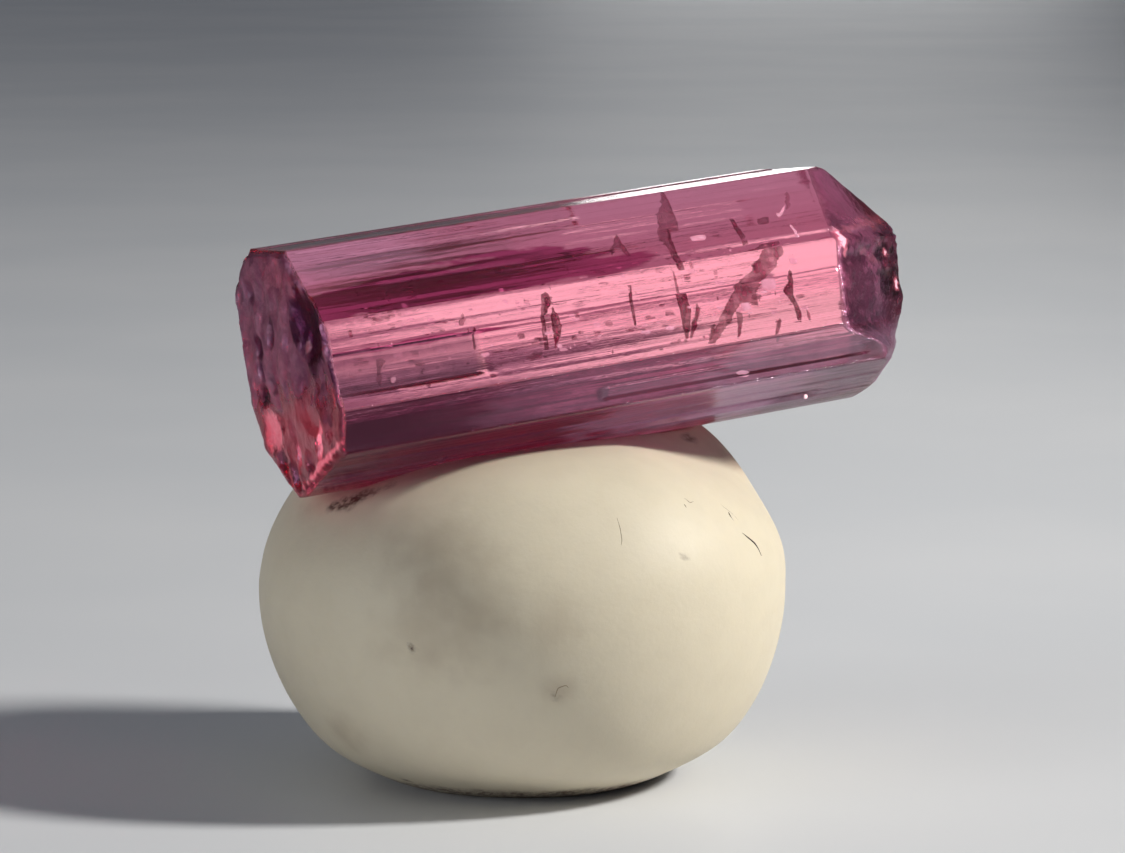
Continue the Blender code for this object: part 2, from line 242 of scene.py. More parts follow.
# Noise and cells over the broken end, where the ragged pattern is drawn out upwards.
BREAK_NOISE_AT = 3.0
BREAK_DRAWN = 0.45
BREAK_STREAKS = (0.26, 14, 3)
BREAK_STREAK_SHARE = 0.20
BREAK_STEPS = (0.34, 9)
BREAK_STEP_SHARE = 0.16
BREAK_SCOOP_DEPTH = 0.65
BREAK_SWELL = (0.80, 0, 3)
BREAK_SWELL_HEIGHT = 0.05
BREAK_SHELLS = (0.75, 3)
BREAK_SHELL_DEPTH = 0.030
BREAK_CHIPS = (0.30, 7)
BREAK_CHIP_DEPTH = 0.012
BREAK_EDGE = (0.5, 12, 2)
BREAK_EDGE_HEIGHT = 0.05
CELL_CURVE = 1.6

# How dull the broken end is: least at the bottom, and then more and unevenly so.
BREAK_DULL_LEAST = 0.10
BREAK_DULL = 0.75
BREAK_DULL_UNEVEN = 0.6
BREAK_CLEAR_BELOW = -1.2

# The marks on both ends: how much raggedness their tones and hollows take, how far ridges
# reach and fade, as shares of their size, and how high the stone stands between hollows.
MARK_RAGGED_TONE = 1.6
MARK_RAGGED_DEPTH = 0.3
RIDGE_REACH = 1.6
RIDGE_FADE = 1.2
SCOOP_RIDGE = 0.06

# The broken end's place along the crystal, and its rim.
BREAK_AT = -0.12
BREAK_RIM_QUIET = 0.40
RIM_BEVEL = 0.14
RIM_BEVEL_WIDTH = 0.22

# Healed cracks inside: the face they are seen through, depth under it, half their run
# inwards, how solid they look, and the outline as places along and across that face.
CRACKS = (
    (2, 1.1, 0.35, 1.0, (
        (7.34, 0.14), (7.44, -0.12), (7.51, -0.49), (7.42, -0.72), (7.22, -0.99), (7.11, -1.16),
        (7.17, -0.68), (7.21, -0.24))),
    (2, 1.0, 0.30, 0.8, (
        (7.06, 0.53), (7.24, 0.60), (7.34, 0.37), (7.27, 0.20), (7.23, 0.45), (7.11, 0.37),
        (7.02, -0.01), (6.92, -0.53), (6.90, -1.14), (6.77, -1.12), (6.82, -0.52), (6.95, 0.10))),
    (2, 1.0, 0.10, 0.6, (
        (6.12, -1.25), (6.41, -1.12), (6.70, -1.14), (6.60, -1.27), (6.31, -1.38))),
    (2, 0.9, 0.30, 0.9, (
        (9.92, 0.38), (9.94, 0.20), (9.85, -0.40), (9.83, -0.89), (9.76, -0.90), (9.74, -0.44),
        (9.80, 0.04))),
    (2, 0.9, 0.35, 1.0, (
        (11.29, -0.13), (11.47, -0.22), (11.66, -0.28), (11.69, -0.66), (11.51, -1.24),
        (11.36, -1.56), (11.29, -1.55), (11.30, -1.12), (11.30, -0.50))),
    (2, 1.2, 0.30, 0.9, (
        (11.99, -0.48), (12.07, -0.68), (11.86, -1.11), (11.58, -1.52), (11.51, -1.51),
        (11.69, -1.08), (11.87, -0.80))),
    (2, 1.0, 0.20, 0.6, (
        (11.41, 0.60), (11.46, 0.53), (11.49, 0.13), (11.48, -0.15), (11.39, -0.11),
        (11.40, 0.17))),
    (2, 1.0, 0.06, 0.75, (
        (14.48, 0.69), (14.78, 0.77), (15.18, 0.74), (15.21, 0.58), (14.86, 0.29), (14.58, 0.02),
        (14.24, -0.23), (13.96, -0.50), (13.96, -0.90), (13.62, -0.76), (13.39, -0.72),
        (13.18, -0.88), (12.94, -1.15), (12.58, -1.49), (12.23, -1.80), (12.00, -1.77),
        (12.34, -1.36), (12.74, -0.87), (13.12, -0.46), (13.45, -0.11), (13.78, 0.08),
        (14.08, 0.35), (14.34, 0.53))),
    (2, 1.2, 0.10, 0.8, (
        (13.22, -0.92), (13.43, -1.04), (13.30, -1.40), (13.14, -1.74), (13.04, -1.75),
        (13.17, -1.37))),
    (2, 1.2, 0.10, 0.7, (
        (12.39, -1.13), (12.47, -1.20), (12.28, -1.54), (12.14, -1.70), (12.14, -1.58))),
    (2, 0.9, 0.25, 0.95, (
        (15.22, 0.07), (15.31, -0.10), (15.15, -0.70), (15.20, -1.02), (15.28, -1.37),
        (15.21, -1.61), (15.10, -1.53), (15.08, -1.09), (14.93, -0.73), (14.83, -0.59),
        (15.06, -0.37))),
    (2, 1.1, 0.15, 0.8, (
        (14.56, -1.33), (14.63, -1.43), (14.39, -1.83), (14.27, -1.87), (14.39, -1.58))),
    (2, 0.8, 0.10, 0.7, ((15.43, -1.22), (15.52, -1.39), (15.49, -1.63), (15.40, -1.59))),
    (2, 0.8, 0.20, 0.9, ((4.64, -0.14), (4.73, -0.18), (4.68, -0.75), (4.55, -0.76))),
    (2, 0.9, 0.08, 0.5, ((4.28, 0.23), (4.47, 0.35), (4.52, 0.19), (4.38, 0.00), (4.26, 0.02))),
    (2, 0.8, 0.08, 0.6, (
        (1.45, -0.59), (1.65, -0.56), (1.75, -0.66), (1.60, -0.76), (1.52, -0.95), (1.53, -1.16),
        (1.41, -1.29), (1.31, -1.19), (1.43, -0.94), (1.44, -0.76))),
    (1, 1.0, 0.25, 0.6, (
        (12.67, 2.23), (12.66, 1.71), (12.55, 0.98), (12.36, 0.37), (12.09, 0.38), (11.83, -0.03),
        (11.81, -0.76), (11.62, -0.81), (11.67, -0.22), (11.56, 0.12), (11.72, 0.60),
        (12.06, 1.23), (12.39, 1.77))),
    (1, 0.9, 0.20, 0.6, (
        (10.38, 0.71), (10.37, 0.25), (10.39, -0.35), (10.22, -0.36), (10.21, 0.05),
        (9.97, -0.03), (9.79, -0.27), (9.85, -0.00), (10.08, 0.27))),
    (1, 0.9, 0.12, 0.75, (
        (14.15, 0.57), (14.27, 0.45), (14.24, -0.01), (14.26, -0.39), (14.07, -0.49),
        (14.07, -0.02))),
    (1, 0.9, 0.12, 0.7, (
        (14.98, 0.29), (15.26, 0.37), (15.42, 0.34), (15.27, 0.04), (15.07, -0.01),
        (14.93, 0.12))),
    (1, 0.9, 0.12, 0.4, (
        (16.54, 1.33), (16.51, 1.05), (16.26, 0.63), (16.08, 0.48), (16.26, 0.91))),
    (1, 0.7, 0.12, 0.8, (
        (11.66, -0.51), (11.77, -0.72), (11.76, -1.09), (11.56, -1.09), (11.50, -0.85))),
)

# Bright flat flakes under the faces, given in the same way.
FLAKES = (
    (1, 0.5, 0.02, 0.9, (
        (12.42, -0.23), (12.73, -0.16), (12.93, -0.30), (12.81, -0.41), (12.55, -0.40),
        (12.39, -0.36))),
    (1, 0.5, 0.02, 0.8, (
        (15.59, 0.28), (15.66, 0.22), (15.86, 0.41), (16.03, 0.61), (15.93, 0.35), (15.66, 0.08),
        (15.54, 0.06))),
    (1, 0.5, 0.02, 0.9, (
        (15.74, -0.32), (15.80, -0.33), (15.84, -0.86), (15.77, -0.93), (15.72, -0.69))),
    (3, 0.4, 0.02, 1.0, (
        (12.72, -1.27), (12.89, -1.21), (13.12, -1.28), (13.22, -1.39), (13.08, -1.46),
        (12.81, -1.42))),
    (3, 0.3, 0.02, 1.0, ((15.06, -2.33), (15.19, -2.39), (15.16, -2.51), (15.05, -2.49))),
    (2, 0.5, 0.02, 1.0, (
        (1.72, -1.17), (1.84, -1.16), (1.88, -1.26), (1.77, -1.33), (1.69, -1.29))),
    (2, 0.8, 0.03, 0.6, (
        (14.19, -0.19), (14.44, -0.17), (14.65, -0.29), (14.60, -0.47), (14.34, -0.53),
        (14.14, -0.40))),
    (2, 0.7, 0.03, 0.6, ((13.26, -0.77), (13.54, -0.75), (13.62, -0.95), (13.33, -1.03))),
)

# Where specks lie inside: the face over them, depth, start and end along the crystal, and
# the lowest and highest place across.
DARK_SPECKS = (
    (2, 0.9, 5.0, 15.6, -1.20, -0.20),
    (2, 1.5, 1.0, 15.6, -1.20, 0.80),
    (1, 1.2, 1.0, 15.0, -1.30, 0.30),
    (3, 0.8, 1.0, 16.0, -0.40, 0.40),
)
PALE_SPECKS = (
    (2, 0.7, 6.5, 15.6, -1.25, -0.45),
    (2, 1.2, 2.0, 15.6, -1.20, 0.60),
    (1, 1.0, 1.0, 15.0, -1.30, -0.50),
)

# How many specks a square metre, and the least and most that each is stretched.
SPECK_DENSITY = 2.2e6
SPECK_SMALLEST = (0.35, 0.25, 0.06)
SPECK_LARGEST = (3.60, 1.10, 0.12)

# A film's run inwards: how far it moves along the crystal, and up or down behind each face,
# for each millimetre deeper. It's built from layers, at these shares of its half run, and it
# narrows to its tips. A film with no more run than FLAT_BELOW is a flat flake, with a taper.
CRACK_RUN = 0.29
CRACK_LIFT = {1: 0.44, 2: 0.085, 3: -0.19}
CRACK_LAYERS = (-1.0, -0.6, 0.0, 0.6, 1.0)
CRACK_STEP = 0.05
CRACK_WOBBLE = 0.018
CRACK_WOBBLE_SIZE = 0.16
CRACK_WAVE = 0.25
CRACK_WAVE_SIZE = 0.5
CRACK_TIP_SIZE = 0.12
FLAT_BELOW = 0.05
FLAT_TAPER = 0.1

# The mesh: columns of vertices round the sides, rings of them along, and a spread of points
# over the ends, which keeps clear of the rim and of the lines where facets meet.
COLUMN_WIDTH = 0.055
RINGS = 120
EDGE_ROUNDING = 3
END_INSET = 0.995
CAP_SPACING = 0.085
CAP_REACH = 4.6
CAP_JITTER = 0.3
CAP_MARGIN = 0.09
CAP_SEED = 3
CREASE_STEP = 0.05
CREASE_REACH = 6.0
CREASE_MARGIN = 0.07
CREASE_GAP = 0.06
STEP_REACH = 4.5
STEP_MARGIN = 0.04

# Fine lengthwise lines in relief on the sides. Each face's noise lies this far from the next
# one's.
STRIATION_HEIGHT = 0.028
STRIATION_WIDTH = 0.16
STRIATION_LENGTH = 7.0
STRIATION_SEED = 2.0
FACE_SPREAD = 5.0
CRYSTAL_SHARP_FROM = 28

# ---------------------------------------------------------------- the crystal's looks

# What the stone does to light: its refraction, and what it absorbs in a metre.
TOURMALINE_IOR = 1.635
ABSORB_COLOUR = (0.862, 0.085, 0.290, 1.0)
ABSORB_DENSITY = 225.0
REFLECTION_TINT = (0.40, 0.22, 0.32, 1.0)

# Its surface's tints: clear faces, painted shade over parts of them, the ends, dull places,
# painted shade on the ends, and painted glints.
CLEAR_TINT = (0.84, 0.69, 0.86, 1.0)
PAINTED_ZONE_SHADE_TINT = (0.34, 0.05, 0.20, 1.0)
END_TINT = (0.93, 0.34, 0.68, 1.0)
DULL_TINT = (0.26, 0.12, 0.23, 1.0)
PALE_DULL_TINT = (0.60, 0.36, 0.52, 1.0)
PAINTED_SHADE_TINT = (0.055, 0.010, 0.046, 1.0)
PAINTED_LIGHT_TINT = (1.0, 0.62, 0.72, 1.0)

# Painted light, as emission: glows on the painted sheen, on the painted glints, and on the
# brightest.
PAINTED_SHEEN_GLOW = (0.085, 0.052, 0.078, 1.0)
RED_GLOW = (0.55, 0.11, 0.16, 1.0)
PINK_GLOW = (0.95, 0.62, 0.72, 1.0)

# The fine lines along its faces: their width as a share of their length, and the heights of
# the lines' and the ends' speckled relief.
LINE_STRETCH = 0.03
LINE_BUMP = 0.03
SPECKLE_BUMP = 0.10

# ---------------------------------------------------------------- the putty's sizes

# The ball's outline, from its sunken foot to its top: radius and height.
FOOT_SINK = 0.40
BALL_PROFILE = (
    (0.00, -FOOT_SINK),
    (2.60, -0.30),
    (3.75, 0.00),
    (4.75, 0.36),
    (6.15, 1.20),
    (7.10, 2.45),
    (7.72, 4.00),
    (7.96, 5.60),
    (7.80, 7.20),
    (7.16, 8.60),
    (6.25, 9.62),
    (5.15, 10.24),
    (3.80, 10.62),
    (2.00, 10.78),
    (0.00, 10.80),
)

# Its shallow lumps, its leaning top, the dent that the crystal lies in, and a skew on the
# right that lifts the back and lowers the front.
LUMP_HEIGHT = 0.09
LUMP_SIZE = 4.5
LUMP_SHIFT = (4.0, 9.0, 2.0)
TOP_FROM = 6.0
TOP_LEAN = 0.35
TOP_SLOPE = 0.03
DENT_DEPTH = 0.50
DENT_HALF_WIDTH = 2.1
DENT_ENDS_AT = 7.0
SKEW = 0.80
SKEW_FROM = 1.0
SKEW_TO = 6.0
SKEW_LINE = -1.1
SKEW_WIDTH = 1.4
PUTTY_AROUND = 330
PUTTY_UP = 220
PUTTY_SHARP_FROM = 50

# The crystal presses the putty down this far below its own underside, between these places
# along its length.
CONTACT_GAP = 0.015
CONTACT_FROM = -0.02
CONTACT_TO = 20.0

# Tones on the putty: kind, middle, radius and strength. Darker patches, painted shade under
# the crystal, and dirt that is partly painted shade.
PUTTY_TONES = (
    ("darker_patch", (-5.2, -5.2, 7.9), 1.7, 0.50),
    ("darker_patch", (-5.2, -5.8, 6.9), 1.9, 0.60),
    ("darker_patch", (-4.6, -6.3, 6.2), 1.7, 0.50),
    ("darker_patch", (-5.6, -5.5, 5.8), 1.7, 0.45),
    ("darker_patch", (-2.6, -7.4, 6.0), 1.2, 0.35),
    ("darker_patch", (-2.3, -7.3, 4.1), 0.5, 0.5),
    ("darker_patch", (-6.6, -1.9, 2.1), 0.9, 0.5),
    ("darker_patch", (3.0, 5.6, 6.0), 1.6, 0.6),
    ("darker_patch", (7.2, 1.8, 4.2), 1.2, 0.5),
    ("darker_patch", (-5.6, 4.6, 6.4), 1.3, 0.6),
    # Painted shade, pinkish from light through the crystal, where the crystal lies on the putty.
    ("crystal_shade", (4.7, -0.4, 10.0), 1.2, 0.5),
    ("crystal_shade", (5.7, -0.2, 9.8), 1.2, 0.4),
    ("crystal_shade", (6.5, -1.2, 9.2), 0.9, 0.4),
    ("crystal_shade", (3.4, 1.8, 10.3), 1.0, 0.6),
    ("crystal_shade", (-6.4, 0.2, 8.8), 0.9, 0.5),
    # These eight lie where the crystal meets the putty: painted shade as well as dirt. The rest
    # are dirt.
    ("dirt_and_shade", (-6.46, -0.72, 8.72), 0.24, 1.0),
    ("dirt_and_shade", (-6.30, -0.98, 8.84), 0.30, 1.0),
    ("dirt_and_shade", (-6.10, -1.28, 8.95), 0.34, 1.0),
    ("dirt_and_shade", (-5.90, -1.52, 9.08), 0.30, 0.9),
    ("dirt_and_shade", (-5.60, -1.78, 9.20), 0.26, 0.7),
    ("dirt_and_shade", (-5.20, -2.05, 9.35), 0.24, 0.5),
    ("dirt_and_shade", (5.00, -1.10, 9.92), 0.34, 0.8),
    ("dirt_and_shade", (4.55, -0.60, 10.02), 0.30, 0.6),
    ("dirt_and_shade", (-5.95, -5.18, 5.22), 0.13, 1.0),
    ("dirt_and_shade", (1.63, -7.50, 7.65), 0.10, 0.6),
    ("dirt_and_shade", (-4.83, -2.17, 0.63), 0.22, 0.9),
    ("dirt_and_shade", (-2.41, -7.27, 3.85), 0.12, 0.5),
)
PUTTY_TONE_REACH = 1.35
PUTTY_TONE_SOFTNESS = 1.5
DIRT_AND_SHADE_SOFTNESS = 0.9
PUTTY_TONE_RAGGED = (0.7, 21, 3)
PUTTY_TONE_RAGGED_SHARE = 0.35
# A darker ring round the foot: painted shade where the ball meets the table, and dirt.
FOOT_SHADE_AND_DIRT_TOP = 0.62
FOOT_SHADE_AND_DIRT_SOFTNESS = 0.35
FOOT_SHADE_AND_DIRT = 0.9

# Lint and scratches lying on the putty: radius, how dark, and the places it passes. LINT_END
# is how thick its ends are and LINT_LIFT how far it lies outwards, as shares of its radius.
LINT_SIDES = 7
LINT_END = 0.25
LINT_LIFT = 0.2
LINT = (
    (0.030, 1.0, ((4.31, -6.04, 7.94), (4.54, -6.00, 7.77), (4.78, -5.94, 7.59),
                  (4.91, -5.93, 7.40), (4.99, -5.99, 7.20))),
    (0.016, 0.8, ((3.99, -5.80, 8.55), (4.05, -5.86, 8.38), (4.16, -5.93, 8.20),
                  (4.24, -6.00, 8.05))),
    (0.018, 0.35, ((-0.24, -6.89, 8.84), (-0.24, -7.09, 8.57), (-0.28, -7.29, 8.26),
                   (-0.36, -7.39, 8.08))),
    (0.012, 0.5, ((2.03, -6.46, 9.00), (2.31, -6.18, 9.14), (2.46, -6.28, 9.00),
                  (2.77, -6.05, 9.03))),
    (0.014, 0.6, ((2.20, -6.42, 9.00), (2.24, -6.50, 8.86), (2.22, -6.58, 8.76))),
    (0.012, 0.4, ((3.79, -5.38, 8.96), (3.85, -5.65, 8.72), (4.11, -5.66, 8.53),
                  (4.35, -5.73, 8.28))),
    (0.018, 0.4, ((-2.41, -7.27, 3.85), (-2.36, -7.36, 4.13), (-2.14, -7.45, 4.21),
                  (-2.02, -7.45, 4.08))),
    (0.016, 0.3, ((-7.14, -1.77, 3.02), (-6.83, -1.77, 2.40), (-6.55, -1.63, 1.89),
                  (-6.17, -1.70, 1.45), (-5.75, -1.63, 1.06))),
    (0.014, 0.5, ((5.2, 5.4, 6.8), (5.0, 5.7, 6.2), (5.1, 5.8, 5.6))),
    (0.012, 0.4, ((-3.0, 6.9, 7.0), (-2.5, 7.2, 6.8), (-2.1, 7.2, 6.9))),
)


# ---------------------------------------------------------------- table, light and camera

TABLE_HALF_SIZE = 2000.0

# The camera's direction, distance and lens, and what it aims at: places to its right and up,
# and a shift.
CAMERA_AZIMUTH = -26.0
CAMERA_ELEVATION = 8.0
CAMERA_DISTANCE = 130.0
CAMERA_LENS = 137.28
CAMERA_AIM = (1.136, 10.65)
AIM_SHIFT = (-0.35, -0.95, 0.0)

# The sky's colour by the height of the direction, from the horizon (0) to overhead (1).
SKY = (
    (0.0, (0.15, 0.158, 0.175)),
    (0.15, (0.10, 0.106, 0.118)),
    (0.34, (0.060, 0.064, 0.072)),
    (0.60, (0.075, 0.080, 0.092)),
    (1.0, (0.16, 0.17, 0.20)),
)

# Round lamps about the object: azimuth (0 in front, 90 to the right), elevation, distance and
# diameter in metres, power, colour, and the kinds of light path that they are hidden from.
LAMPS = {
    "key": (58.0, 34.0, 0.30, 0.040, 1.16, (1.0, 0.97, 0.92), ()),
    "left_fill": (-85.0, 10.0, 0.50, 0.30, 0.78, (0.96, 0.98, 1.0), ()),
    "back_glow": (180.0, 16.0, 1.2, 0.8, 0.6, (1.0, 0.99, 0.97), ("glossy", "transmission")),
    "window": (150.2, 4.4, 1.0, 0.16, 0.17, (1.0, 1.0, 0.98), ("diffuse", "transmission")),
    "high_card": (150.2, 21.5, 1.0, 0.22, 0.050, (1.0, 0.92, 0.97), ("diffuse", "glossy")),
}
LAMP_AIM = (0.0, 0.0, 0.01)

# Bright cards close behind, which only what is seen through the crystal shows: width,
# height, place to the right and up in metres, lean to the left, power and colour.
CARDS = {
    "back_card": (0.070, 0.017, 0.006, 0.0048, 43.0, 0.00730, (0.577, 1.0, 0.675)),
    "halo_card": (0.044, 0.005, -0.002, 0.0120, 10.0, 0.00040, (0.72, 1.0, 0.90)),
}
CARD_DISTANCE = 0.050


# ---------------------------------------------------------------- materials


def operator(operation, reflected=False):
    """A Python operator on sockets that adds a Math node."""
    def apply(self, other):
        values = (other, self) if reflected else (self, other)
        return self.finish.math(operation, *values)
    return apply


class Socket:
    """An output in a material, so that shader maths reads as an expression on values."""

    __add__, __radd__ = operator("ADD"), operator("ADD", reflected=True)
    __sub__, __rsub__ = operator("SUBTRACT"), operator("SUBTRACT", reflected=True)
    __mul__, __rmul__ = operator("MULTIPLY"), operator("MULTIPLY", reflected=True)

    def __init__(self, finish, output):
        self.finish = finish
        self.output = output


class Finish:
    """A material being wired up around its Principled shader."""

    def __init__(self, name):
        self.material = bpy.data.materials.new(name)
        self.material.use_nodes = True
        self.tree = self.material.node_tree
        self.shader = self.tree.nodes["Principled BSDF"]
        self.out = self.tree.nodes["Material Output"]

    def node(self, kind, settings=None, inputs=None, output=0):
        """Adds a node: its settings first, then its inputs, as values or as links."""
        made = self.tree.nodes.new("ShaderNode" + kind)
        for name, value in (settings or {}).items():
            setattr(made, name, value)
        for name, value in (inputs or {}).items():
            self.join(made.inputs[name], value)
        return Socket(self, made.outputs[output])

    def join(self, socket, value):
        if isinstance(value, Socket):
            self.tree.links.new(value.output, socket)
        else:
            socket.default_value = value

    def math(self, operation, *values, clamp=False):
        made = dict(enumerate(values))
        return self.node("Math", {"operation": operation, "use_clamp": clamp}, made)

    def between(self, value, low, high, start=0.0, end=1.0):
        """Rises smoothly from start to end as the value goes from low to high."""
        return self.node(
            "MapRange",
            {"interpolation_type": "SMOOTHSTEP"},
            {"Value": value, "From Min": low, "From Max": high, "To Min": start, "To Max": end},
        )

    def blend(self, factor, first, second):
        """Mixes two colours."""
        inputs = {0: factor, 6: first, 7: second}
        return self.node("Mix", {"data_type": "RGBA", "blend_type": "MIX"}, inputs, output=2)

    def place(self):
        """Object coordinates in millimetres."""
        inputs = {"Vector": self.node("TexCoord", output=3), "Scale": (1 / MM, 1 / MM, 1 / MM)}
        return self.node("Mapping", {"vector_type": "POINT"}, inputs)

    def attribute(self, name):
        return self.node("Attribute", {"attribute_name": name}, output=2)

    def grain(self, vector, scale, detail, roughness):
        """Noise with this many lumps a unit."""
        inputs = {"Vector": vector, "Scale": scale, "Detail": detail, "Roughness": roughness}
        return self.node("TexNoise", {"noise_dimensions": "3D"}, inputs)

    def bump(self, height, strength, depth, after=None):
        inputs = {"Height": height, "Strength": strength, "Distance": depth}
        if after is not None:
            inputs["Normal"] = after
        return self.node("Bump", inputs=inputs)

    def finish(self, **inputs):
        """Sets the shader's own sockets, by their names with underscores for spaces."""
        for name, value in inputs.items():
            self.join(self.shader.inputs[name.replace("_", " ")], value)
        return self.material


def linear(red, green, blue):
    """An sRGB colour from 0 to 255 as Blender's linear colour."""
    return tuple(
        c / 12.92 if c <= 0.04045 else ((c + 0.055) / 1.055) ** 2.4
        for c in (red / 255, green / 255, blue / 255)
    ) + (1.0,)


def rubellite_material():
    """Clear raspberry-pink tourmaline: lined gloss on its faces, dull ends, painted shade, and
    painted glints and sheen that glow.
    """
    f = Finish("rubellite")
    rough_end, dull = f.attribute("end"), f.attribute("dull")
    dark, painted_light = f.attribute("dark"), f.attribute("painted_light")
    lengthwise = {"X": f.attribute("across"), "Y": f.attribute("along") * LINE_STRETCH,
                  "Z": f.attribute("side")}
    lined = f.node("CombineXYZ", inputs=lengthwise)
    fine = f.grain(lined, 16.0, 3.0, 0.6)
    coarse = f.grain(lined, 5.0, 2.0, 0.5)
    lines = fine * 0.35 + coarse * 0.65
    speckle = f.grain(f.place(), 3.0, 3.0, 0.6)
    lines_bump = f.bump(lines, 0.5, LINE_BUMP * MM)
    normal = f.bump(speckle * rough_end, 0.6, SPECKLE_BUMP * MM, after=lines_bump)
    roughness = 0.03 + dull * 0.30 + rough_end * (0.08 + speckle * 0.14)
    blotch = f.between(f.grain(f.place(), 1.6, 4.0, 0.6), 0.35, 0.65)
    mauve = f.blend(blotch, DULL_TINT, PALE_DULL_TINT)
    # Painted shade: darker zones on the faces in place of the dark things seen through them.
    deep = f.between(f.attribute("deep") + lines * 0.6 - 0.3, 0.25, 0.75)
    clear = f.blend(rough_end, f.blend(deep, CLEAR_TINT, PAINTED_ZONE_SHADE_TINT), END_TINT)
    # Painted shade on the ends, darkest in hollows, then painted glints and lit streaks.
    tint = f.blend(dark, f.blend(dull, clear, mauve), PAINTED_SHADE_TINT)
    tint = f.blend(painted_light, tint, PAINTED_LIGHT_TINT)
    # Painted sheen and glints glow as emission: painted reflected light.
    sheen_amount = f.attribute("painted_sheen") * (0.4 + lines * 1.2)
    glow = f.blend(sheen_amount, (0.0, 0.0, 0.0, 1.0), PAINTED_SHEEN_GLOW)
    glow = f.blend(painted_light * painted_light, glow, RED_GLOW)
    glow = f.blend(f.between(painted_light, 0.90, 1.0), glow, PINK_GLOW)
    absorb = f.node("VolumeAbsorption", inputs={"Color": ABSORB_COLOUR, "Density": ABSORB_DENSITY})
    f.join(f.out.inputs["Volume"], absorb)
    return f.finish(
        Base_Color=tint,
        Metallic=dull * 0.50 + dark * 0.25,
        Roughness=roughness,
        IOR=TOURMALINE_IOR,
        Transmission_Weight=1.0,
        Specular_Tint=REFLECTION_TINT,
        Normal=normal,
        Emission_Color=glow,
        Emission_Strength=1.0,
    )


def crack_material(name="healed_crack", strength=1.0):
    """Healed cracks: dark wine-red films, thin enough in places to see through."""
    f = Finish(name)
    film = f.grain(f.place(), 2.4, 4.0, 0.65)
    colour = f.blend(f.between(film, 0.35, 0.65), linear(150, 16, 56), linear(196, 72, 116))
    uneven = f.between(film, 0.30, 0.68, start=0.30, end=0.85)
    alpha = f.math("MULTIPLY", strength - f.attribute("thin"), uneven, clamp=True)
    return f.finish(Base_Color=colour, Roughness=0.5, IOR=1.3, Alpha=alpha)


def flake_material(name="bright_flake", strength=1.0):
    """Bright gaps inside, with a painted pale pink glow."""
    f = Finish(name)
    film = f.grain(f.place(), 3.0, 3.0, 0.6)
    colour = f.blend(film, linear(255, 214, 222), linear(255, 240, 244))
    painted_glow = f.blend(film, linear(226, 150, 166), linear(255, 214, 222))
    alpha = f.math("MULTIPLY", strength - f.attribute("thin"), 0.5 + film, clamp=True)
    return f.finish(Base_Color=colour, Roughness=0.25, IOR=1.5, Alpha=alpha,
                    Emission_Color=painted_glow, Emission_Strength=0.5)


def lint_material():
    f = Finish("lint")
    tone = f.grain(f.place(), 2.0, 2.0, 0.5)
    colour = f.blend(f.attribute("dark"), linear(172, 156, 130), linear(58, 44, 34))
    return f.finish(Base_Color=colour, Roughness=0.6 + tone * 0.2)


def putty_material():
    """Kneaded beige putty with darker patches, a little dirt, painted shade where the crystal lies
    on it and round its foot, and a dull waxy sheen.
    """
    f = Finish("putty")
    broad = f.grain(f.place(), 0.22, 3.0, 0.6)
    clean = f.blend(broad, linear(206, 196, 174), linear(213, 203, 180))
    mottle = f.between(f.grain(f.place(), 0.9, 5.0, 0.6), 0.35, 0.75)
    body = f.blend(mottle * 0.22, clean, linear(190, 179, 158))
    cloud = f.grain(f.place(), 1.3, 4.0, 0.6)
    # Darker patches, then painted shade under the crystal, then dirt and painted shade.
    patched = f.blend(f.attribute("darker_patch") * (0.7 + cloud * 0.6), body, linear(168, 152, 130))
    crystal_shaded = f.blend(f.attribute("crystal_shade") * (0.6 + cloud * 0.8), patched, linear(158, 116, 98))
    grit = f.between(f.grain(f.place(), 5.0, 4.0, 0.7), 0.32, 0.62)
    with_dirt_and_shade = f.blend(f.attribute("dirt_and_shade") * (0.25 + grit * 0.75), crystal_shaded, linear(74, 44, 34))
    fine = f.grain(f.place(), 6.0, 5.0, 0.65)
    normal = f.bump(fine, 0.22, 0.03 * MM)
    return f.finish(
        Base_Color=with_dirt_and_shade,
        Roughness=0.50 + fine * 0.12,
        Normal=normal,
        IOR=1.45,
        Subsurface_Weight=0.12,
        Subsurface_Radius=(0.9, 0.7, 0.4),
        Subsurface_Scale=1.0 * MM,
    )


def table_material():
    f = Finish("table")
    tone = f.grain(f.place(), 0.03, 3.0, 0.5)
    colour = f.blend(f.between(tone, 0.3, 0.7), linear(209, 212, 216), linear(216, 218, 221))
    return f.finish(Base_Color=colour, Roughness=0.5, IOR=1.36)


# ---------------------------------------------------------------- the crystal's own frame


LYING = Matrix.LocRotScale(
    Vector(BROKEN_END_AT),
    Euler((math.radians(CRYSTAL_ROLL), math.radians(-CRYSTAL_PITCH), 0.0), "XYZ"),
    None,
)
LYING_TURN = np.array(LYING.to_3x3())
LYING_SHIFT = np.array(LYING.translation)


def laid(places):
    """Places in the crystal, as (along, front, up) in mm, as points of the scene in metres."""
    places = np.asarray(places, float)
    local = np.stack([places[:, 0], -places[:, 1], places[:, 2]], axis=1)
    return (local @ LYING_TURN.T + LYING_SHIFT) * MM


def direction(angle):
    """A direction in the section, as (towards the front, up)."""
    return np.array((math.cos(math.radians(angle)), math.sin(math.radians(angle))))


FACE_NORMALS = np.array([direction(angle) for angle, _ in PRISM_FACES])
FACE_DISTANCES = np.array([distance for _, distance in PRISM_FACES])


def corner(k):
    """Where prism faces k and k + 1 meet."""
    pair = [k % len(PRISM_FACES), (k + 1) % len(PRISM_FACES)]
    return np.linalg.solve(FACE_NORMALS[pair], FACE_DISTANCES[pair])


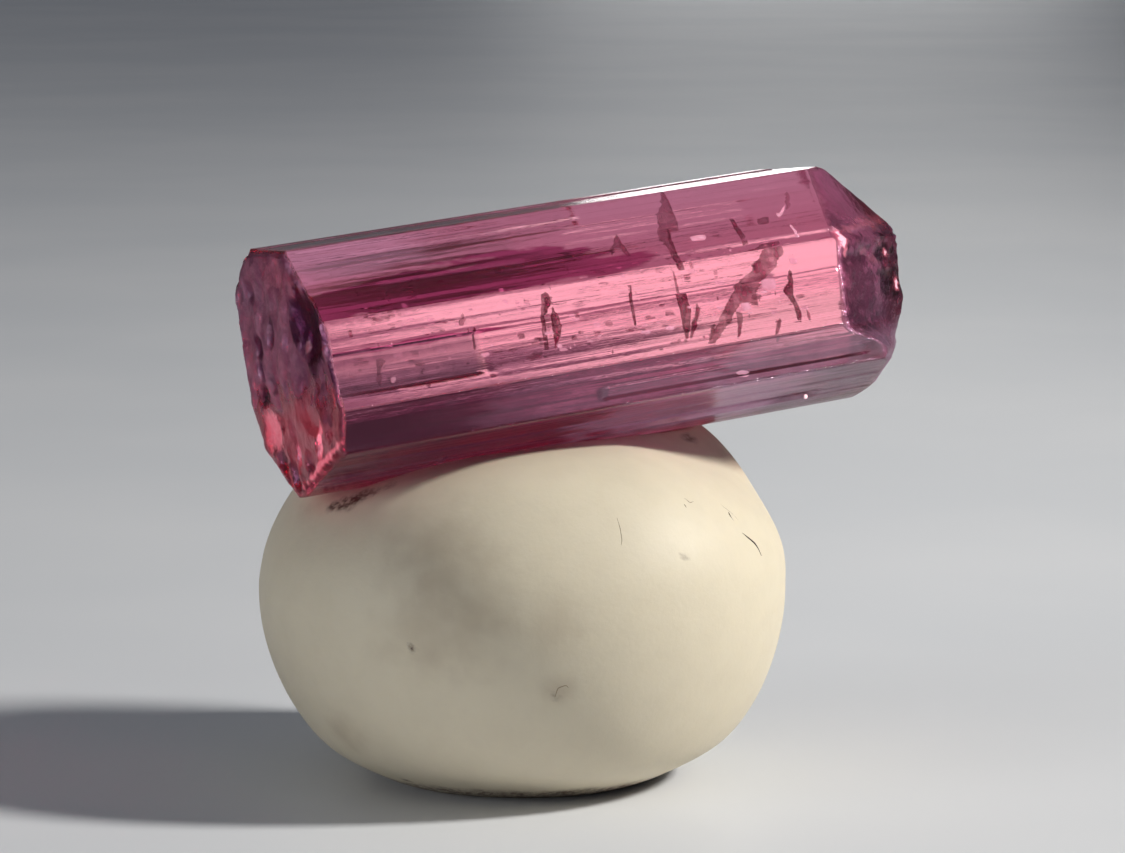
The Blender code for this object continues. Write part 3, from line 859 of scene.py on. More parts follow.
def to_rim(points):
    """How far inside the prism's nearest face each point of the section is."""
    return (FACE_DISTANCES - points @ FACE_NORMALS.T).min(axis=1)


def smoothstep(value):
    value = np.clip(value, 0.0, 1.0)
    return value * value * (3.0 - 2.0 * value)


def noise_at(points, size, seed, octaves=3):
    """Fractal noise from about -1 to 1 at each point, with lumps of this size."""
    shift = Vector((seed * 7.31, seed * 3.17, seed * 5.71))
    return np.array(
        [noise.fractal(Vector(p) / size + shift, 0.8, 2.0, octaves) for p in points]
    )


# ---------------------------------------------------------------- the crystal's relief


def ledge_profiles():
    """For each prism face, places across it and how deep its ledges lie there."""
    chance = random.Random(LEDGE_SEED)
    profiles = []
    for k in range(len(PRISM_FACES)):
        length = float(np.linalg.norm(corner(k) - corner(k - 1)))
        ledges = max(1, round(length / LEDGE_PITCH))
        places, depths, depth = [0.0], [0.0], 0.0
        for i in range(1, ledges):
            place = length * (i + chance.uniform(-LEDGE_JITTER, LEDGE_JITTER)) / ledges
            next_depth = chance.uniform(0.0, LEDGE_DEPTH)
            places += [place - LEDGE_SLOPE, place + LEDGE_SLOPE]
            depths += [depth, next_depth]
            depth = next_depth
        places += [length - LEDGE_SLOPE, length]
        depths += [depth, 0.0]
        profiles.append((length, places, depths))
    return profiles


def missing_plates(face, length, across, along):
    """How deep the missing plates lie, and how dull, over a face's grid of places."""
    deep, dull = np.zeros((2, *np.broadcast(across, along).shape))
    for number, start, long, middle, width, depth, dullness in SIDE_PLATES:
        if number != face:
            continue
        aside = np.abs(across - (length / 2 + middle)) - width / 2
        beyond = np.maximum(start - along, along - (start + long))
        inside = smoothstep(0.5 - aside / PLATE_SIDE_SLOPE)
        inside = inside * smoothstep(0.5 - beyond / PLATE_END_SLOPE)
        deep = np.maximum(deep, depth * inside)
        dull = np.maximum(dull, dullness * inside)
    return deep, dull


def side_tones(face, length, across, along):
    """How dull the stone is, and its painted shade and painted sheen, over a face's grid of
    places.
    """
    shape = np.broadcast(across, along).shape
    tones = np.zeros((3, *shape))
    places = np.stack(np.broadcast_arrays(along * TONE_DRAWN, across, face), axis=-1)
    ragged = TONE_RAGGED_SHARE * noise_at(places.reshape(-1, 3), *TONE_RAGGED).reshape(shape)
    for number, middle, aside, half_length, half_width, *strengths in SIDE_TONES:
        if number != face:
            continue
        over = (across - length / 2 - aside) / half_width
        away = np.hypot((along - middle) / half_length, over)
        near = smoothstep((TONE_REACH - away - ragged) / TONE_FADE)
        tones = np.maximum(tones, np.multiply.outer(strengths, near))
    return tones


def facet_height(facet, points):
    way, slope, height = facet
    return height - math.tan(math.radians(slope)) * (points @ direction(way))


def cells(points, size, seed):
    """Distances from each point to its nearest two cell centres, and its cell's own value."""
    shift = Vector((seed * 3.3, seed * 1.7, seed * 2.9))
    found = [noise.voronoi(Vector((p[0], p[1], 0.0)) / size + shift) for p in points]
    return np.array([(*far[:2], noise.cell(near[0] * 9.0)) for far, near in found])


def hollows(points, size, seed, depth):
    """How deep small shell-like hollows lie, each deepest at its cell's centre."""
    return depth * (1.0 - cells(points, size, seed)[:, 0] ** 2 * CELL_CURVE)


def marked(points, marks, ragged):
    """How deep the marks reach at each point, with the painted shade and painted light there."""
    deepest = np.full(len(points), -SCOOP_RIDGE)
    raised, dark, painted_light = np.zeros((3, len(points)))
    for front, up, half_width, half_height, turn, deep, tone in marks:
        side = direction(turn)
        over = (points - (front, up)) @ np.array([side, (-side[1], side[0])]).T
        away = np.hypot(over[:, 0] / half_width, over[:, 1] / half_height)
        near = smoothstep((TONE_REACH - away - MARK_RAGGED_TONE * ragged) / TONE_FADE)
        if deep > 0.0:
            reach = away + MARK_RAGGED_DEPTH * ragged
            deepest = np.maximum(deepest, deep * (1.0 - reach * np.abs(reach)))
        else:
            raised = np.minimum(raised, deep * smoothstep((RIDGE_REACH - away) / RIDGE_FADE))
        # Positive tones paint shade, negative ones paint light.
        if tone > 0.0:
            dark = np.maximum(dark, tone * near)
        else:
            painted_light = np.maximum(painted_light, -tone * near)
    return deepest + raised, dark * (1.0 - painted_light), painted_light


def tip_surface(points):
    """Where the natural end's surface is, how dull it is, and its painted shade, painted light and
    painted sheen.
    """
    def lowest(facets):
        return np.min([facet_height(facet, points) for facet in (SUMMIT, *facets)], axis=0)

    front, up = points.T
    rim = to_rim(points)
    upper = lowest(UPPER_FACETS)
    lower = lowest(LOWER_FACETS)
    flat = np.column_stack([points, np.full(len(points), TIP_NOISE_AT)])
    wavy = up + STEP_WAVE_HEIGHT * noise_at(flat, *STEP_WAVES)
    above = smoothstep((wavy - (STEP_AT - STEP_WALL)) / (2 * STEP_WALL))
    surface = lower + (upper - lower) * above
    nearest, next_nearest, value = cells(points, *TIP_BLOCKS).T
    blocky = 0.5 * (value - 0.5) + TIP_GRIT_SHARE * noise_at(flat, *TIP_GRIT)
    pits, dark, painted_light = marked(points, TIP_MARKS, blocky)
    blocks = np.minimum(1.0, (next_nearest - nearest) / TIP_BLOCK_GAP)
    quiet = smoothstep(rim / TIP_RIM_QUIET)
    surface -= TIP_PIT_DEPTH * pits * (0.4 + 0.6 * quiet)
    surface -= TIP_SWELL_HEIGHT * quiet * noise_at(flat, *TIP_SWELL)
    band = np.exp(-((up - BAND_UP - BAND_SLANT * front) / BAND_WIDTH) ** 2)
    surface += BAND_HEIGHT * blocks * np.maximum(band, smoothstep(pits / 0.12)) * quiet
    surface -= TIP_BEVEL * np.maximum(0.0, 1.0 - rim / TIP_BEVEL_WIDTH)
    dull = TIP_DULL - TIP_CLEARER * smoothstep((up - TIP_CLEAR_ABOVE) / 0.4)
    dull = dull + BAND_DULL * band * blocks
    # Painted shade over the natural end, weaker towards its low edge.
    tip_shade = TIP_SHADE_AMOUNT + TIP_SHADE_UNEVEN * noise_at(flat, *TIP_SHADE_NOISE)
    tip_shade *= 0.4 + 0.6 * smoothstep((up - TIP_SHADE_FROM) / 0.9)
    # Painted sheen below the step, in place of reflected light.
    painted_sheen = TIP_PAINTED_SHEEN * smoothstep((TIP_PAINTED_SHEEN_BELOW - up) / 0.6)
    return surface, np.array((dull, np.maximum(dark, tip_shade * (1.0 - painted_light)), painted_light, painted_sheen))


def break_surface(points):
    """Where the broken end's surface is, how dull it is, and its painted shade and painted light.
    """
    rim = to_rim(points)
    flat = np.column_stack([points, np.full(len(points), BREAK_NOISE_AT)])
    drawn = flat * (1.0, BREAK_DRAWN, 1.0)
    ragged = BREAK_STREAK_SHARE * noise_at(drawn, *BREAK_STREAKS)
    ragged += BREAK_STEP_SHARE * (cells(drawn, *BREAK_STEPS)[:, 2] - 0.5)
    scoops, dark, painted_light = marked(points, BREAK_MARKS, ragged)
    depth = BREAK_SCOOP_DEPTH * scoops + BREAK_SWELL_HEIGHT * noise_at(flat, *BREAK_SWELL)
    depth += hollows(points, *BREAK_SHELLS, BREAK_SHELL_DEPTH)
    depth += hollows(points, *BREAK_CHIPS, BREAK_CHIP_DEPTH)
    inside = smoothstep(rim / BREAK_RIM_QUIET)
    bevel = RIM_BEVEL * np.maximum(0.0, 1.0 - rim / RIM_BEVEL_WIDTH)
    edge = BREAK_EDGE_HEIGHT * noise_at(flat, *BREAK_EDGE)
    dull = smoothstep((points[:, 1] - BREAK_CLEAR_BELOW + 2.0 * ragged) / 0.7)
    dull = BREAK_DULL_LEAST + dull * (BREAK_DULL + BREAK_DULL_UNEVEN * ragged)
    surface = BREAK_AT + inside * depth + bevel + edge * (1.0 - inside)
    return surface, np.array((dull, dark, painted_light, np.zeros(len(points))))


# ---------------------------------------------------------------- building the crystal


def side_columns():
    """The outline as columns: (face, across, face length, front, up), evenly spaced."""
    columns = []
    for k, (length, _, _) in enumerate(PROFILES):
        start, end = corner(k - 1), corner(k)
        count = max(2, round(length / COLUMN_WIDTH))
        for i in range(count):
            share = i / count
            point = start + (end - start) * share
            columns.append((k, share * length, length, *point))
    return columns


def rounded(points, times):
    """The closed outline with its corners softened."""
    for _ in range(times):
        points = points * 0.5 + (np.roll(points, 1, 0) + np.roll(points, -1, 0)) * 0.25
    return points


def side_grid(columns):
    """Each side vertex, ring by ring: its place as (along, front, up), and its tones."""
    face = np.array([c[0] for c in columns])
    across = np.array([c[1] for c in columns])
    outline = np.array([c[3:] for c in columns])
    soft = rounded(outline, EDGE_ROUNDING)
    inside = outline * END_INSET
    start, end = break_surface(inside)[0], tip_surface(inside)[0]
    share = np.linspace(0.0, 1.0, RINGS)
    along = start + (end - start) * share[:, None]
    depth, dull, deep, painted_sheen = np.zeros((4, *along.shape))
    for k, (length, places, depths) in enumerate(PROFILES):
        here = face == k
        ledges = np.interp(across[here], places, depths)
        plates, plate_dull = missing_plates(k, length, across[here], along[:, here])
        # The patches are how dull the stone is, its painted shade and its painted sheen.
        patches = side_tones(k, length, across[here], along[:, here])
        depth[:, here] = ledges + plates
        dull[:, here] = np.maximum(plate_dull, patches[0])
        deep[:, here], painted_sheen[:, here] = patches[1:]
    normals = FACE_NORMALS[face]
    section = soft[None] - normals[None] * depth[..., None]
    tones = np.stack([dull, deep, painted_sheen], axis=2)
    return np.concatenate([along[..., None], section], axis=2), tones


def cap_points(chance):
    """Points spread over the section, clear of its rim, for an end's surface."""
    points = []
    rows = int(2 * CAP_REACH / CAP_SPACING)
    for i in range(rows):
        for j in range(rows):
            aside, upwards = (chance.uniform(-CAP_JITTER, CAP_JITTER) for _ in range(2))
            front = -CAP_REACH + (i + 0.5 * (j % 2) + aside) * CAP_SPACING
            up = -CAP_REACH + (j + upwards) * CAP_SPACING
            points.append((front, up))
    points = np.array(points)
    return points[to_rim(points) > CAP_MARGIN]


def crease_points():
    """Points close together along the lines where the natural end's facets meet."""
    found = []
    for facets, above in ((UPPER_FACETS, True), (LOWER_FACETS, False)):
        planes = (SUMMIT, *facets)
        for i, first in enumerate(planes):
            for second in planes[i + 1:]:
                slopes = [
                    direction(way) * math.tan(math.radians(slope))
                    for way, slope, _ in (first, second)
                ]
                run = slopes[0] - slopes[1]
                foot = run * (first[2] - second[2]) / run.dot(run)
                line = np.array((-run[1], run[0])) / math.hypot(*run)
                steps = np.arange(-CREASE_REACH, CREASE_REACH, CREASE_STEP)
                points = foot + steps[:, None] * line
                heights = np.array([facet_height(plane, points) for plane in planes])
                lowest = heights[i] < heights.min(axis=0) + 1e-6
                side = (points[:, 1] > STEP_AT + STEP_MARGIN) == above
                found.append(points[lowest & side])
    for level in (STEP_AT, STEP_AT - STEP_WALL):
        front = np.arange(-STEP_REACH, STEP_REACH, CREASE_STEP)
        found.append(np.column_stack([front, np.full(len(front), level)]))
    found = np.concatenate(found)
    return found[to_rim(found) > CREASE_MARGIN]


def clear_of(points, others, gap):
    """The points that are at least gap away from all the others."""
    far = [np.min(np.sum((others - p) ** 2, axis=1)) > gap * gap for p in points]
    return points[np.array(far)]


def add_cap(bm, rim, points, surface, tone_layers):
    """Fills an end: a fine triangle net over the rim's outline, at the surface's depth."""
    outline = np.array([[v.co.y, v.co.z] for v in rim])
    count = len(outline)
    loop = [(i, (i + 1) % count) for i in range(count)]
    flat = [Vector(p) for p in outline] + [Vector(p) for p in points]
    where, _, faces, origins, _, _ = delaunay_2d_cdt(flat, loop, [], 1, 1e-6)
    depths, tones = surface(np.array([tuple(p) for p in where]))
    verts = []
    for point, origin, along, tone in zip(where, origins, depths, tones.T):
        on_rim = [i for i in origin if i < count]
        if on_rim:
            verts.append(rim[on_rim[0]])
            continue
        verts.append(bm.verts.new((along, point.x, point.y)))
        for layer, value in zip(tone_layers, tone):
            verts[-1][layer] = value
    for face in faces:
        corners = [verts[i] for i in face]
        if len(set(corners)) == 3:
            bm.faces.new(corners)


def crystal_blank():
    """The crystal without its fine lines, in its own frame, with its surface labelled."""
    columns = side_columns()
    grid, grid_tones = side_grid(columns)
    bm = bmesh.new()
    # Layers for the lengthwise pattern, the ends, painted shade on the faces, dullness, painted
    # shade on the ends, painted light and painted sheen.
    across, along_mm, side, end, deep, *tones = (
        bm.verts.layers.float.new(name)
        for name in ("across", "along", "side", "end", "deep", "dull", "dark", "painted_light", "painted_sheen")
    )
    dull, _, _, painted_sheen = tones
    rings = [[bm.verts.new(place) for place in ring] for ring in grid]
    for ring, ring_tones in zip(rings, grid_tones):
        for vertex, column, tone in zip(ring, columns, ring_tones):
            vertex[across] = column[1]
            vertex[side] = column[0] * FACE_SPREAD
            vertex[dull], vertex[deep], vertex[painted_sheen] = tone
    bridge(bm, rings)
    chance = random.Random(CAP_SEED)
    add_cap(bm, rings[0], cap_points(chance), break_surface, tones)
    creases = crease_points()
    spread = clear_of(cap_points(chance), creases, CREASE_GAP)
    add_cap(bm, rings[-1], np.concatenate([creases, spread]), tip_surface, tones)
    side_verts = set(v for ring in rings for v in ring)
    for vertex in bm.verts:
        vertex[along_mm] = vertex.co.x
        vertex[end] = 0.0 if vertex in side_verts else 1.0
    places = np.array([tuple(v.co) for v in bm.verts])
    for vertex, point in zip(bm.verts, laid(places)):
        vertex.co = point
    bmesh.ops.recalc_face_normals(bm, faces=bm.faces[:])
    return bm


PROFILES = ledge_profiles()


def bridge(bm, rings, closed=False):
    """Joins closed rings of vertices, each to the next, and fills the outer two if asked."""
    for low, high in zip(rings, rings[1:]):
        for i in range(len(low)):
            j = (i + 1) % len(low)
            bm.faces.new((low[i], low[j], high[j], high[i]))
    if closed:
        bm.faces.new(rings[0])
        bm.faces.new(rings[-1])


def mesh_object(name, bm, material):
    mesh = bpy.data.meshes.new(name)
    bm.to_mesh(mesh)
    bm.free()
    mesh.materials.append(material)
    made = bpy.data.objects.new(name, mesh)
    bpy.context.scene.collection.objects.link(made)
    return made


def set_inputs(modifier, values):
    """Sets a Geometry Nodes modifier's inputs by the names of its sockets."""
    for item in modifier.node_group.interface.items_tree:
        if item.item_type == "SOCKET" and item.in_out == "INPUT" and item.name in values:
            modifier[item.identifier] = values[item.name]


def settle(obj):
    """Turns what an object's modifiers make of it into its plain mesh."""
    graph = bpy.context.evaluated_depsgraph_get()
    mesh = bpy.data.meshes.new_from_object(obj.evaluated_get(graph))
    obj.modifiers.clear()
    obj.data = mesh


def geometry_tree(name, inputs):
    """An empty Geometry Nodes tree with its named inputs."""
    tree = bpy.data.node_groups.new(name, "GeometryNodeTree")
    tree.interface.new_socket("Geometry", in_out="OUTPUT", socket_type="NodeSocketGeometry")
    tree.interface.new_socket("Geometry", in_out="INPUT", socket_type="NodeSocketGeometry")
    for label, kind in inputs:
        tree.interface.new_socket(label, in_out="INPUT", socket_type="NodeSocket" + kind)
    return tree, tree.nodes.new("NodeGroupInput"), tree.nodes.new("NodeGroupOutput")


def link(tree, *pairs):
    for start, end in pairs:
        tree.links.new(start, end)


def dress_result(tree, given, result, geometry):
    """Ends a tree: what it made is turned into plain mesh and gets the given material."""
    real = tree.nodes.new("GeometryNodeRealizeInstances")
    dress = tree.nodes.new("GeometryNodeSetMaterial")
    link(
        tree,
        (geometry, real.inputs[0]),
        (real.outputs[0], dress.inputs["Geometry"]),
        (given.outputs["Material"], dress.inputs["Material"]),
        (dress.outputs[0], result.inputs[0]),
    )


def striation_tree():
    """Raises fine lengthwise lines on the sides of the crystal."""
    inputs = (("Depth", "Float"), ("Width", "Float"), ("Length", "Float"), ("Seed", "Float"),
              ("Material", "Material"))
    tree, given, result = geometry_tree("striations", inputs)

    def add(kind, **settings):
        made = tree.nodes.new(kind)
        for key, value in settings.items():
            setattr(made, key, value)
        return made

    def named(label):
        made = add("GeometryNodeInputNamedAttribute", data_type="FLOAT")
        made.inputs["Name"].default_value = label
        return made.outputs["Attribute"]

    def math_node(operation, first, second):
        made = add("ShaderNodeMath", operation=operation)
        for socket, value in zip(made.inputs, (first, second)):
            if isinstance(value, (int, float)):
                socket.default_value = value
            else:
                tree.links.new(value, socket)
        return made.outputs[0]

    coords = add("ShaderNodeCombineXYZ")
    lines = add("ShaderNodeTexNoise")
    lines.inputs["Scale"].default_value = 1.0
    lines.inputs["Detail"].default_value = 3.0
    height = math_node("SUBTRACT", lines.outputs[0], 0.5)
    height = math_node("MULTIPLY", height, given.outputs["Depth"])
    height = math_node("MULTIPLY", height, math_node("SUBTRACT", 1.0, named("end")))
    push = add("ShaderNodeVectorMath", operation="SCALE")
    move = add("GeometryNodeSetPosition")
    link(
        tree,
        (math_node("DIVIDE", named("across"), given.outputs["Width"]), coords.inputs[0]),
        (math_node("DIVIDE", named("along"), given.outputs["Length"]), coords.inputs[1]),
        (math_node("ADD", named("side"), given.outputs["Seed"]), coords.inputs[2]),
        (coords.outputs[0], lines.inputs["Vector"]),
        (add("GeometryNodeInputNormal").outputs[0], push.inputs[0]),
        (height, push.inputs["Scale"]),
        (given.outputs["Geometry"], move.inputs["Geometry"]),
        (push.outputs[0], move.inputs["Offset"]),
    )
    dress_result(tree, given, result, move.outputs[0])
    return tree


def make_crystal():
    material = rubellite_material()
    crystal = mesh_object("rubellite", crystal_blank(), material)
    grow = crystal.modifiers.new("striations", "NODES")
    grow.node_group = striation_tree()
    set_inputs(grow, {"Depth": STRIATION_HEIGHT * MM, "Width": STRIATION_WIDTH,
                      "Length": STRIATION_LENGTH, "Seed": STRIATION_SEED,
                      "Material": material})
    settle(crystal)
    crystal.data.shade_smooth()
    crystal.data.set_sharp_from_angle(angle=math.radians(CRYSTAL_SHARP_FROM))
    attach(crystal, "root")
    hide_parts("rubellite_crystal")


def speck_tree():
    """Scatters flat specks over a carrier mesh, each turned and sized by chance."""
    inputs = (("Density", "Float"), ("Size", "Float"), ("Seed", "Int"), ("Material", "Material"))
    tree, given, result = geometry_tree("specks", inputs)
    spread = tree.nodes.new("GeometryNodeDistributePointsOnFaces")
    shape = tree.nodes.new("GeometryNodeMeshIcoSphere")
    shape.inputs["Subdivisions"].default_value = 2
    sizes = tree.nodes.new("FunctionNodeRandomValue")
    sizes.data_type = "FLOAT_VECTOR"
    sizes.inputs[0].default_value = SPECK_SMALLEST
    sizes.inputs[1].default_value = SPECK_LARGEST
    place = tree.nodes.new("GeometryNodeInstanceOnPoints")
    link(
        tree,
        (given.outputs["Geometry"], spread.inputs["Mesh"]),
        (given.outputs["Density"], spread.inputs["Density"]),
        (given.outputs["Seed"], spread.inputs["Seed"]),
        (given.outputs["Size"], shape.inputs["Radius"]),
        (given.outputs["Seed"], sizes.inputs["Seed"]),
        (spread.outputs["Points"], place.inputs["Points"]),
        (spread.outputs["Rotation"], place.inputs["Rotation"]),
        (shape.outputs["Mesh"], place.inputs["Instance"]),
        (sizes.outputs[0], place.inputs["Scale"]),
    )
    dress_result(tree, given, result, place.outputs["Instances"])
    return tree


def make_specks(name, zones, size, material, seed):
    """Small inclusions strewn over zones inside: (face, depth, start, end, low, high)."""
    bm = bmesh.new()
    for face, depth, start, end, low, high in zones:
        tangent = np.array((-FACE_NORMALS[face][1], FACE_NORMALS[face][0]))
        middle = FACE_NORMALS[face] * (FACE_DISTANCES[face] - depth)
        corners = ((start, low), (end, low), (end, high), (start, high))
        places = [(along, *(middle + tangent * across)) for along, across in corners]
        bm.faces.new([bm.verts.new(place) for place in laid(places)])
    piece = mesh_object(name, bm, material)
    scatter = piece.modifiers.new("specks", "NODES")
    scatter.node_group = speck_tree()
    set_inputs(scatter, {"Density": SPECK_DENSITY, "Size": size * MM, "Seed": seed,
                         "Material": material})
    settle(piece)
    piece.data.shade_smooth()
    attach(piece, "root")


def resampled(outline, step):
    """The closed outline with points every step or so."""
    points = []
    for start, end in zip(outline, outline[1:] + outline[:1]):
        start, end = np.array(start), np.array(end)
        count = max(1, round(np.linalg.norm(end - start) / step))
        points += [start + (end - start) * i / count for i in range(count)]
    return rounded(np.array(points), 1)


def add_film(bm, layer, face, depth, half_run, solid, outline, seed):
    """A closed film of crack behind a face, running on inwards from what shows of it."""
    flat = resampled(outline, CRACK_STEP)
    spots = np.column_stack([flat, np.full(len(flat), seed)])
    wobble = [noise_at(spots, CRACK_WOBBLE_SIZE, seed + extra, 2) for extra in (0, 40)]
    flat = flat + CRACK_WOBBLE * np.column_stack(wobble)
    middle = flat.mean(axis=0)
    normal = FACE_NORMALS[face]
    tangent = np.array((-normal[1], normal[0]))
    wave = CRACK_WAVE * half_run * noise_at(spots, CRACK_WAVE_SIZE, seed + 80, 2)
    rings = []
    for share in CRACK_LAYERS:
        size = max(CRACK_TIP_SIZE, math.sqrt(1.0 - share * share))
        if half_run <= FLAT_BELOW:
            size = 1.0 - FLAT_TAPER * abs(share)
        ring = middle + (flat - middle) * size
        run = share * half_run
        distance = FACE_DISTANCES[face] - (depth + run) - wave
        across = ring[:, 1] + CRACK_LIFT[face] * share * half_run
        section = normal[None] * distance[:, None] + tangent[None] * across[:, None]
        along = ring[:, 0] + CRACK_RUN * share * half_run
        places = laid(np.column_stack([along, section]))
        rings.append([bm.verts.new(place) for place in places])
        for vertex in rings[-1]:
            vertex[layer] = 1.0 - solid
    bridge(bm, rings, closed=True)


def make_films(name, films, material, seed):
    """All the films of one kind as a single piece inside the crystal."""
    bm = bmesh.new()
    layer = bm.verts.layers.float.new("thin")
    for i, film in enumerate(films):
        add_film(bm, layer, *film, seed + i)
    caps = [face for face in bm.faces if len(face.verts) > 4]
    bmesh.ops.triangulate(bm, faces=caps)
    bmesh.ops.recalc_face_normals(bm, faces=bm.faces[:])
    piece = mesh_object(name, bm, material)
    piece.data.shade_smooth()
    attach(piece, "root")


# ---------------------------------------------------------------- the putty


def profile_point(fraction):
    """The radius and height at this fraction of the way along the smoothed profile."""
    place = fraction * (len(BALL_PROFILE) - 1)
    k = min(int(place), len(BALL_PROFILE) - 2)
    t = place - k
    before, start, end, after = (
        Vector(BALL_PROFILE[max(0, min(i, len(BALL_PROFILE) - 1))])
        for i in (k - 1, k, k + 1, k + 2)
    )
    curve = (
        2 * start
        + (end - before) * t
        + (2 * before - 5 * start + 4 * end - after) * t**2
        + (3 * start - before - 3 * end + after) * t**3
    )
    return curve / 2


def putty_point(unit):
    """Where a point of the unit sphere goes on the putty ball, before the crystal is in."""
    level = math.acos(max(-1.0, min(1.0, -unit.z))) / math.pi
    radius, height = profile_point(level)
    around = Vector((unit.x, unit.y, 0.0))
    if around.length > 0.0:
        around.normalize()
    point = around * radius + Vector((0.0, 0.0, height))
    lump = LUMP_HEIGHT * noise.noise(point / LUMP_SIZE + Vector(LUMP_SHIFT))
    point += unit * lump
    top = max(0.0, min(1.0, (height - TOP_FROM) / (BALL_PROFILE[-1][1] - TOP_FROM)))
    point.x += TOP_LEAN * top
    beside = (point.y - BROKEN_END_AT[1]) / DENT_HALF_WIDTH
    dent = DENT_DEPTH * math.exp(-(beside**2))
    dent *= max(0.0, min(1.2, 1.0 - point.x / DENT_ENDS_AT))
    right = max(0.0, min(1.0, (point.x - SKEW_FROM) / (SKEW_TO - SKEW_FROM)))
    skew = SKEW * right**2 * (3 - 2 * right) * math.tanh((point.y - SKEW_LINE) / SKEW_WIDTH)
    point.z += top * (TOP_SLOPE * point.y - dent + skew)
    return point


def crystal_underside(points):
    """For points inside the lying crystal, the height of its underside above or below."""
    local = (points - LYING_SHIFT) @ LYING_TURN
    section = np.column_stack([-local[:, 1], local[:, 2]])
    gap = FACE_DISTANCES + CONTACT_GAP - section @ FACE_NORMALS.T
    inside = (gap.min(axis=1) > 0.0) & (local[:, 0] > CONTACT_FROM) & (local[:, 0] < CONTACT_TO)
    down = -LYING_TURN[2]
    run = np.array([-down[1], down[2]])
    fall = FACE_NORMALS @ run
    with np.errstate(divide="ignore", invalid="ignore"):
        reach = np.where(fall > 1e-6, gap / fall, np.inf)
    return inside, reach.min(axis=1)


def putty_tone_amounts(points):
    """How strong each kind of tone is at each point of the putty."""
    ragged = PUTTY_TONE_RAGGED_SHARE * noise_at(points, *PUTTY_TONE_RAGGED)
    amounts = {kind: np.zeros(len(points)) for kind in ("darker_patch", "crystal_shade", "dirt_and_shade")}
    for kind, middle, radius, strength in PUTTY_TONES:
        away = np.linalg.norm(points - middle, axis=1) / radius
        softness = DIRT_AND_SHADE_SOFTNESS if kind == "dirt_and_shade" else PUTTY_TONE_SOFTNESS
        here = strength * smoothstep((PUTTY_TONE_REACH + ragged - away) / softness)
        amounts[kind] = np.maximum(amounts[kind], here)
    # Painted shade and dirt round the foot.
    foot = smoothstep((FOOT_SHADE_AND_DIRT_TOP + 0.3 * ragged - points[:, 2]) / FOOT_SHADE_AND_DIRT_SOFTNESS)
    amounts["dirt_and_shade"] = np.maximum(amounts["dirt_and_shade"], FOOT_SHADE_AND_DIRT * foot)
    return amounts


def add_tube(bm, layer, radius, dark, path):
    """A closed, tapering strand along a smoothed path given in millimetres."""
    places = np.array(path)
    share = np.linspace(0.0, len(places) - 1.0, 4 * len(places))
    line = np.column_stack([np.interp(share, range(len(places)), places[:, i]) for i in range(3)])
    line = np.vstack([line[:1], (line[:-2] + 2 * line[1:-1] + line[2:]) / 4, line[-1:]])
    rings = []
    for i, place in enumerate(line):
        ahead = Vector(line[min(i + 1, len(line) - 1)] - line[max(i - 1, 0)]).normalized()
        out = Vector((place[0], place[1], 0.0)).normalized()
        up = (out - ahead * out.dot(ahead)).normalized()
        side = ahead.cross(up)
        swell = math.sin(math.pi * (i + 0.5) / len(line)) ** 0.5
        thick = radius * (LINT_END + (1.0 - LINT_END) * swell)
        ring = []
        for j in range(LINT_SIDES):
            turn = 2 * math.pi * j / LINT_SIDES
            around = (up * math.cos(turn) + side * math.sin(turn)) * thick
            ring.append(bm.verts.new((Vector(place) + around + out * LINT_LIFT * thick) * MM))
            ring[-1][layer] = dark
        rings.append(ring)
    bridge(bm, rings, closed=True)


def make_lint():
    bm = bmesh.new()
    layer = bm.verts.layers.float.new("dark")
    for radius, dark, path in LINT:
        add_tube(bm, layer, radius, dark, path)
    bmesh.ops.recalc_face_normals(bm, faces=bm.faces[:])
    lint = mesh_object("lint", bm, lint_material())
    lint.data.shade_smooth()
    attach(lint, "root")


def make_putty():
    bm = bmesh.new()
    bmesh.ops.create_uvsphere(bm, u_segments=PUTTY_AROUND, v_segments=PUTTY_UP, radius=1.0)
    points = np.array([tuple(putty_point(v.co.normalized())) for v in bm.verts])
    inside, drop = crystal_underside(points)
    points[inside, 2] -= drop[inside]
    for kind, amount in putty_tone_amounts(points).items():
        layer = bm.verts.layers.float.new(kind)
        for vertex, value in zip(bm.verts, amount):
            vertex[layer] = value
    for vertex, point in zip(bm.verts, points):
        vertex.co = Vector(point) * MM
    foot = bmesh.ops.bisect_plane(
        bm,
        geom=bm.verts[:] + bm.edges[:] + bm.faces[:],
        plane_co=(0.0, 0.0, 0.0),
        plane_no=(0.0, 0.0, 1.0),
        clear_inner=True,
    )
    rim = [item for item in foot["geom_cut"] if isinstance(item, bmesh.types.BMEdge)]
    bmesh.ops.contextual_create(bm, geom=rim)
    bmesh.ops.recalc_face_normals(bm, faces=bm.faces[:])
    putty = mesh_object("putty", bm, putty_material())
    putty.data.shade_smooth()
    putty.data.set_sharp_from_angle(angle=math.radians(PUTTY_SHARP_FROM))
    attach(putty, "root")
    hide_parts("putty_ball")


# ---------------------------------------------------------------- the table


def make_table():
    bm = bmesh.new()
    bmesh.ops.create_grid(bm, x_segments=8, y_segments=8, size=TABLE_HALF_SIZE * MM)
    table = mesh_object("table", bm, table_material())


# ---------------------------------------------------------------- camera and light


def compass(azimuth, elevation):
    """The way to a place round the object: azimuth 0 is in front, 90 to the right."""
    a, e = math.radians(azimuth), math.radians(elevation)
    return Vector((math.sin(a) * math.cos(e), -math.cos(a) * math.cos(e), math.sin(e)))


def camera_axes():
    """The ways to the camera's right, up and back."""
    a = math.radians(CAMERA_AZIMUTH)
    right = Vector((math.cos(a), math.sin(a), 0.0))
    back = compass(CAMERA_AZIMUTH, CAMERA_ELEVATION)
    return right, back.cross(right), back


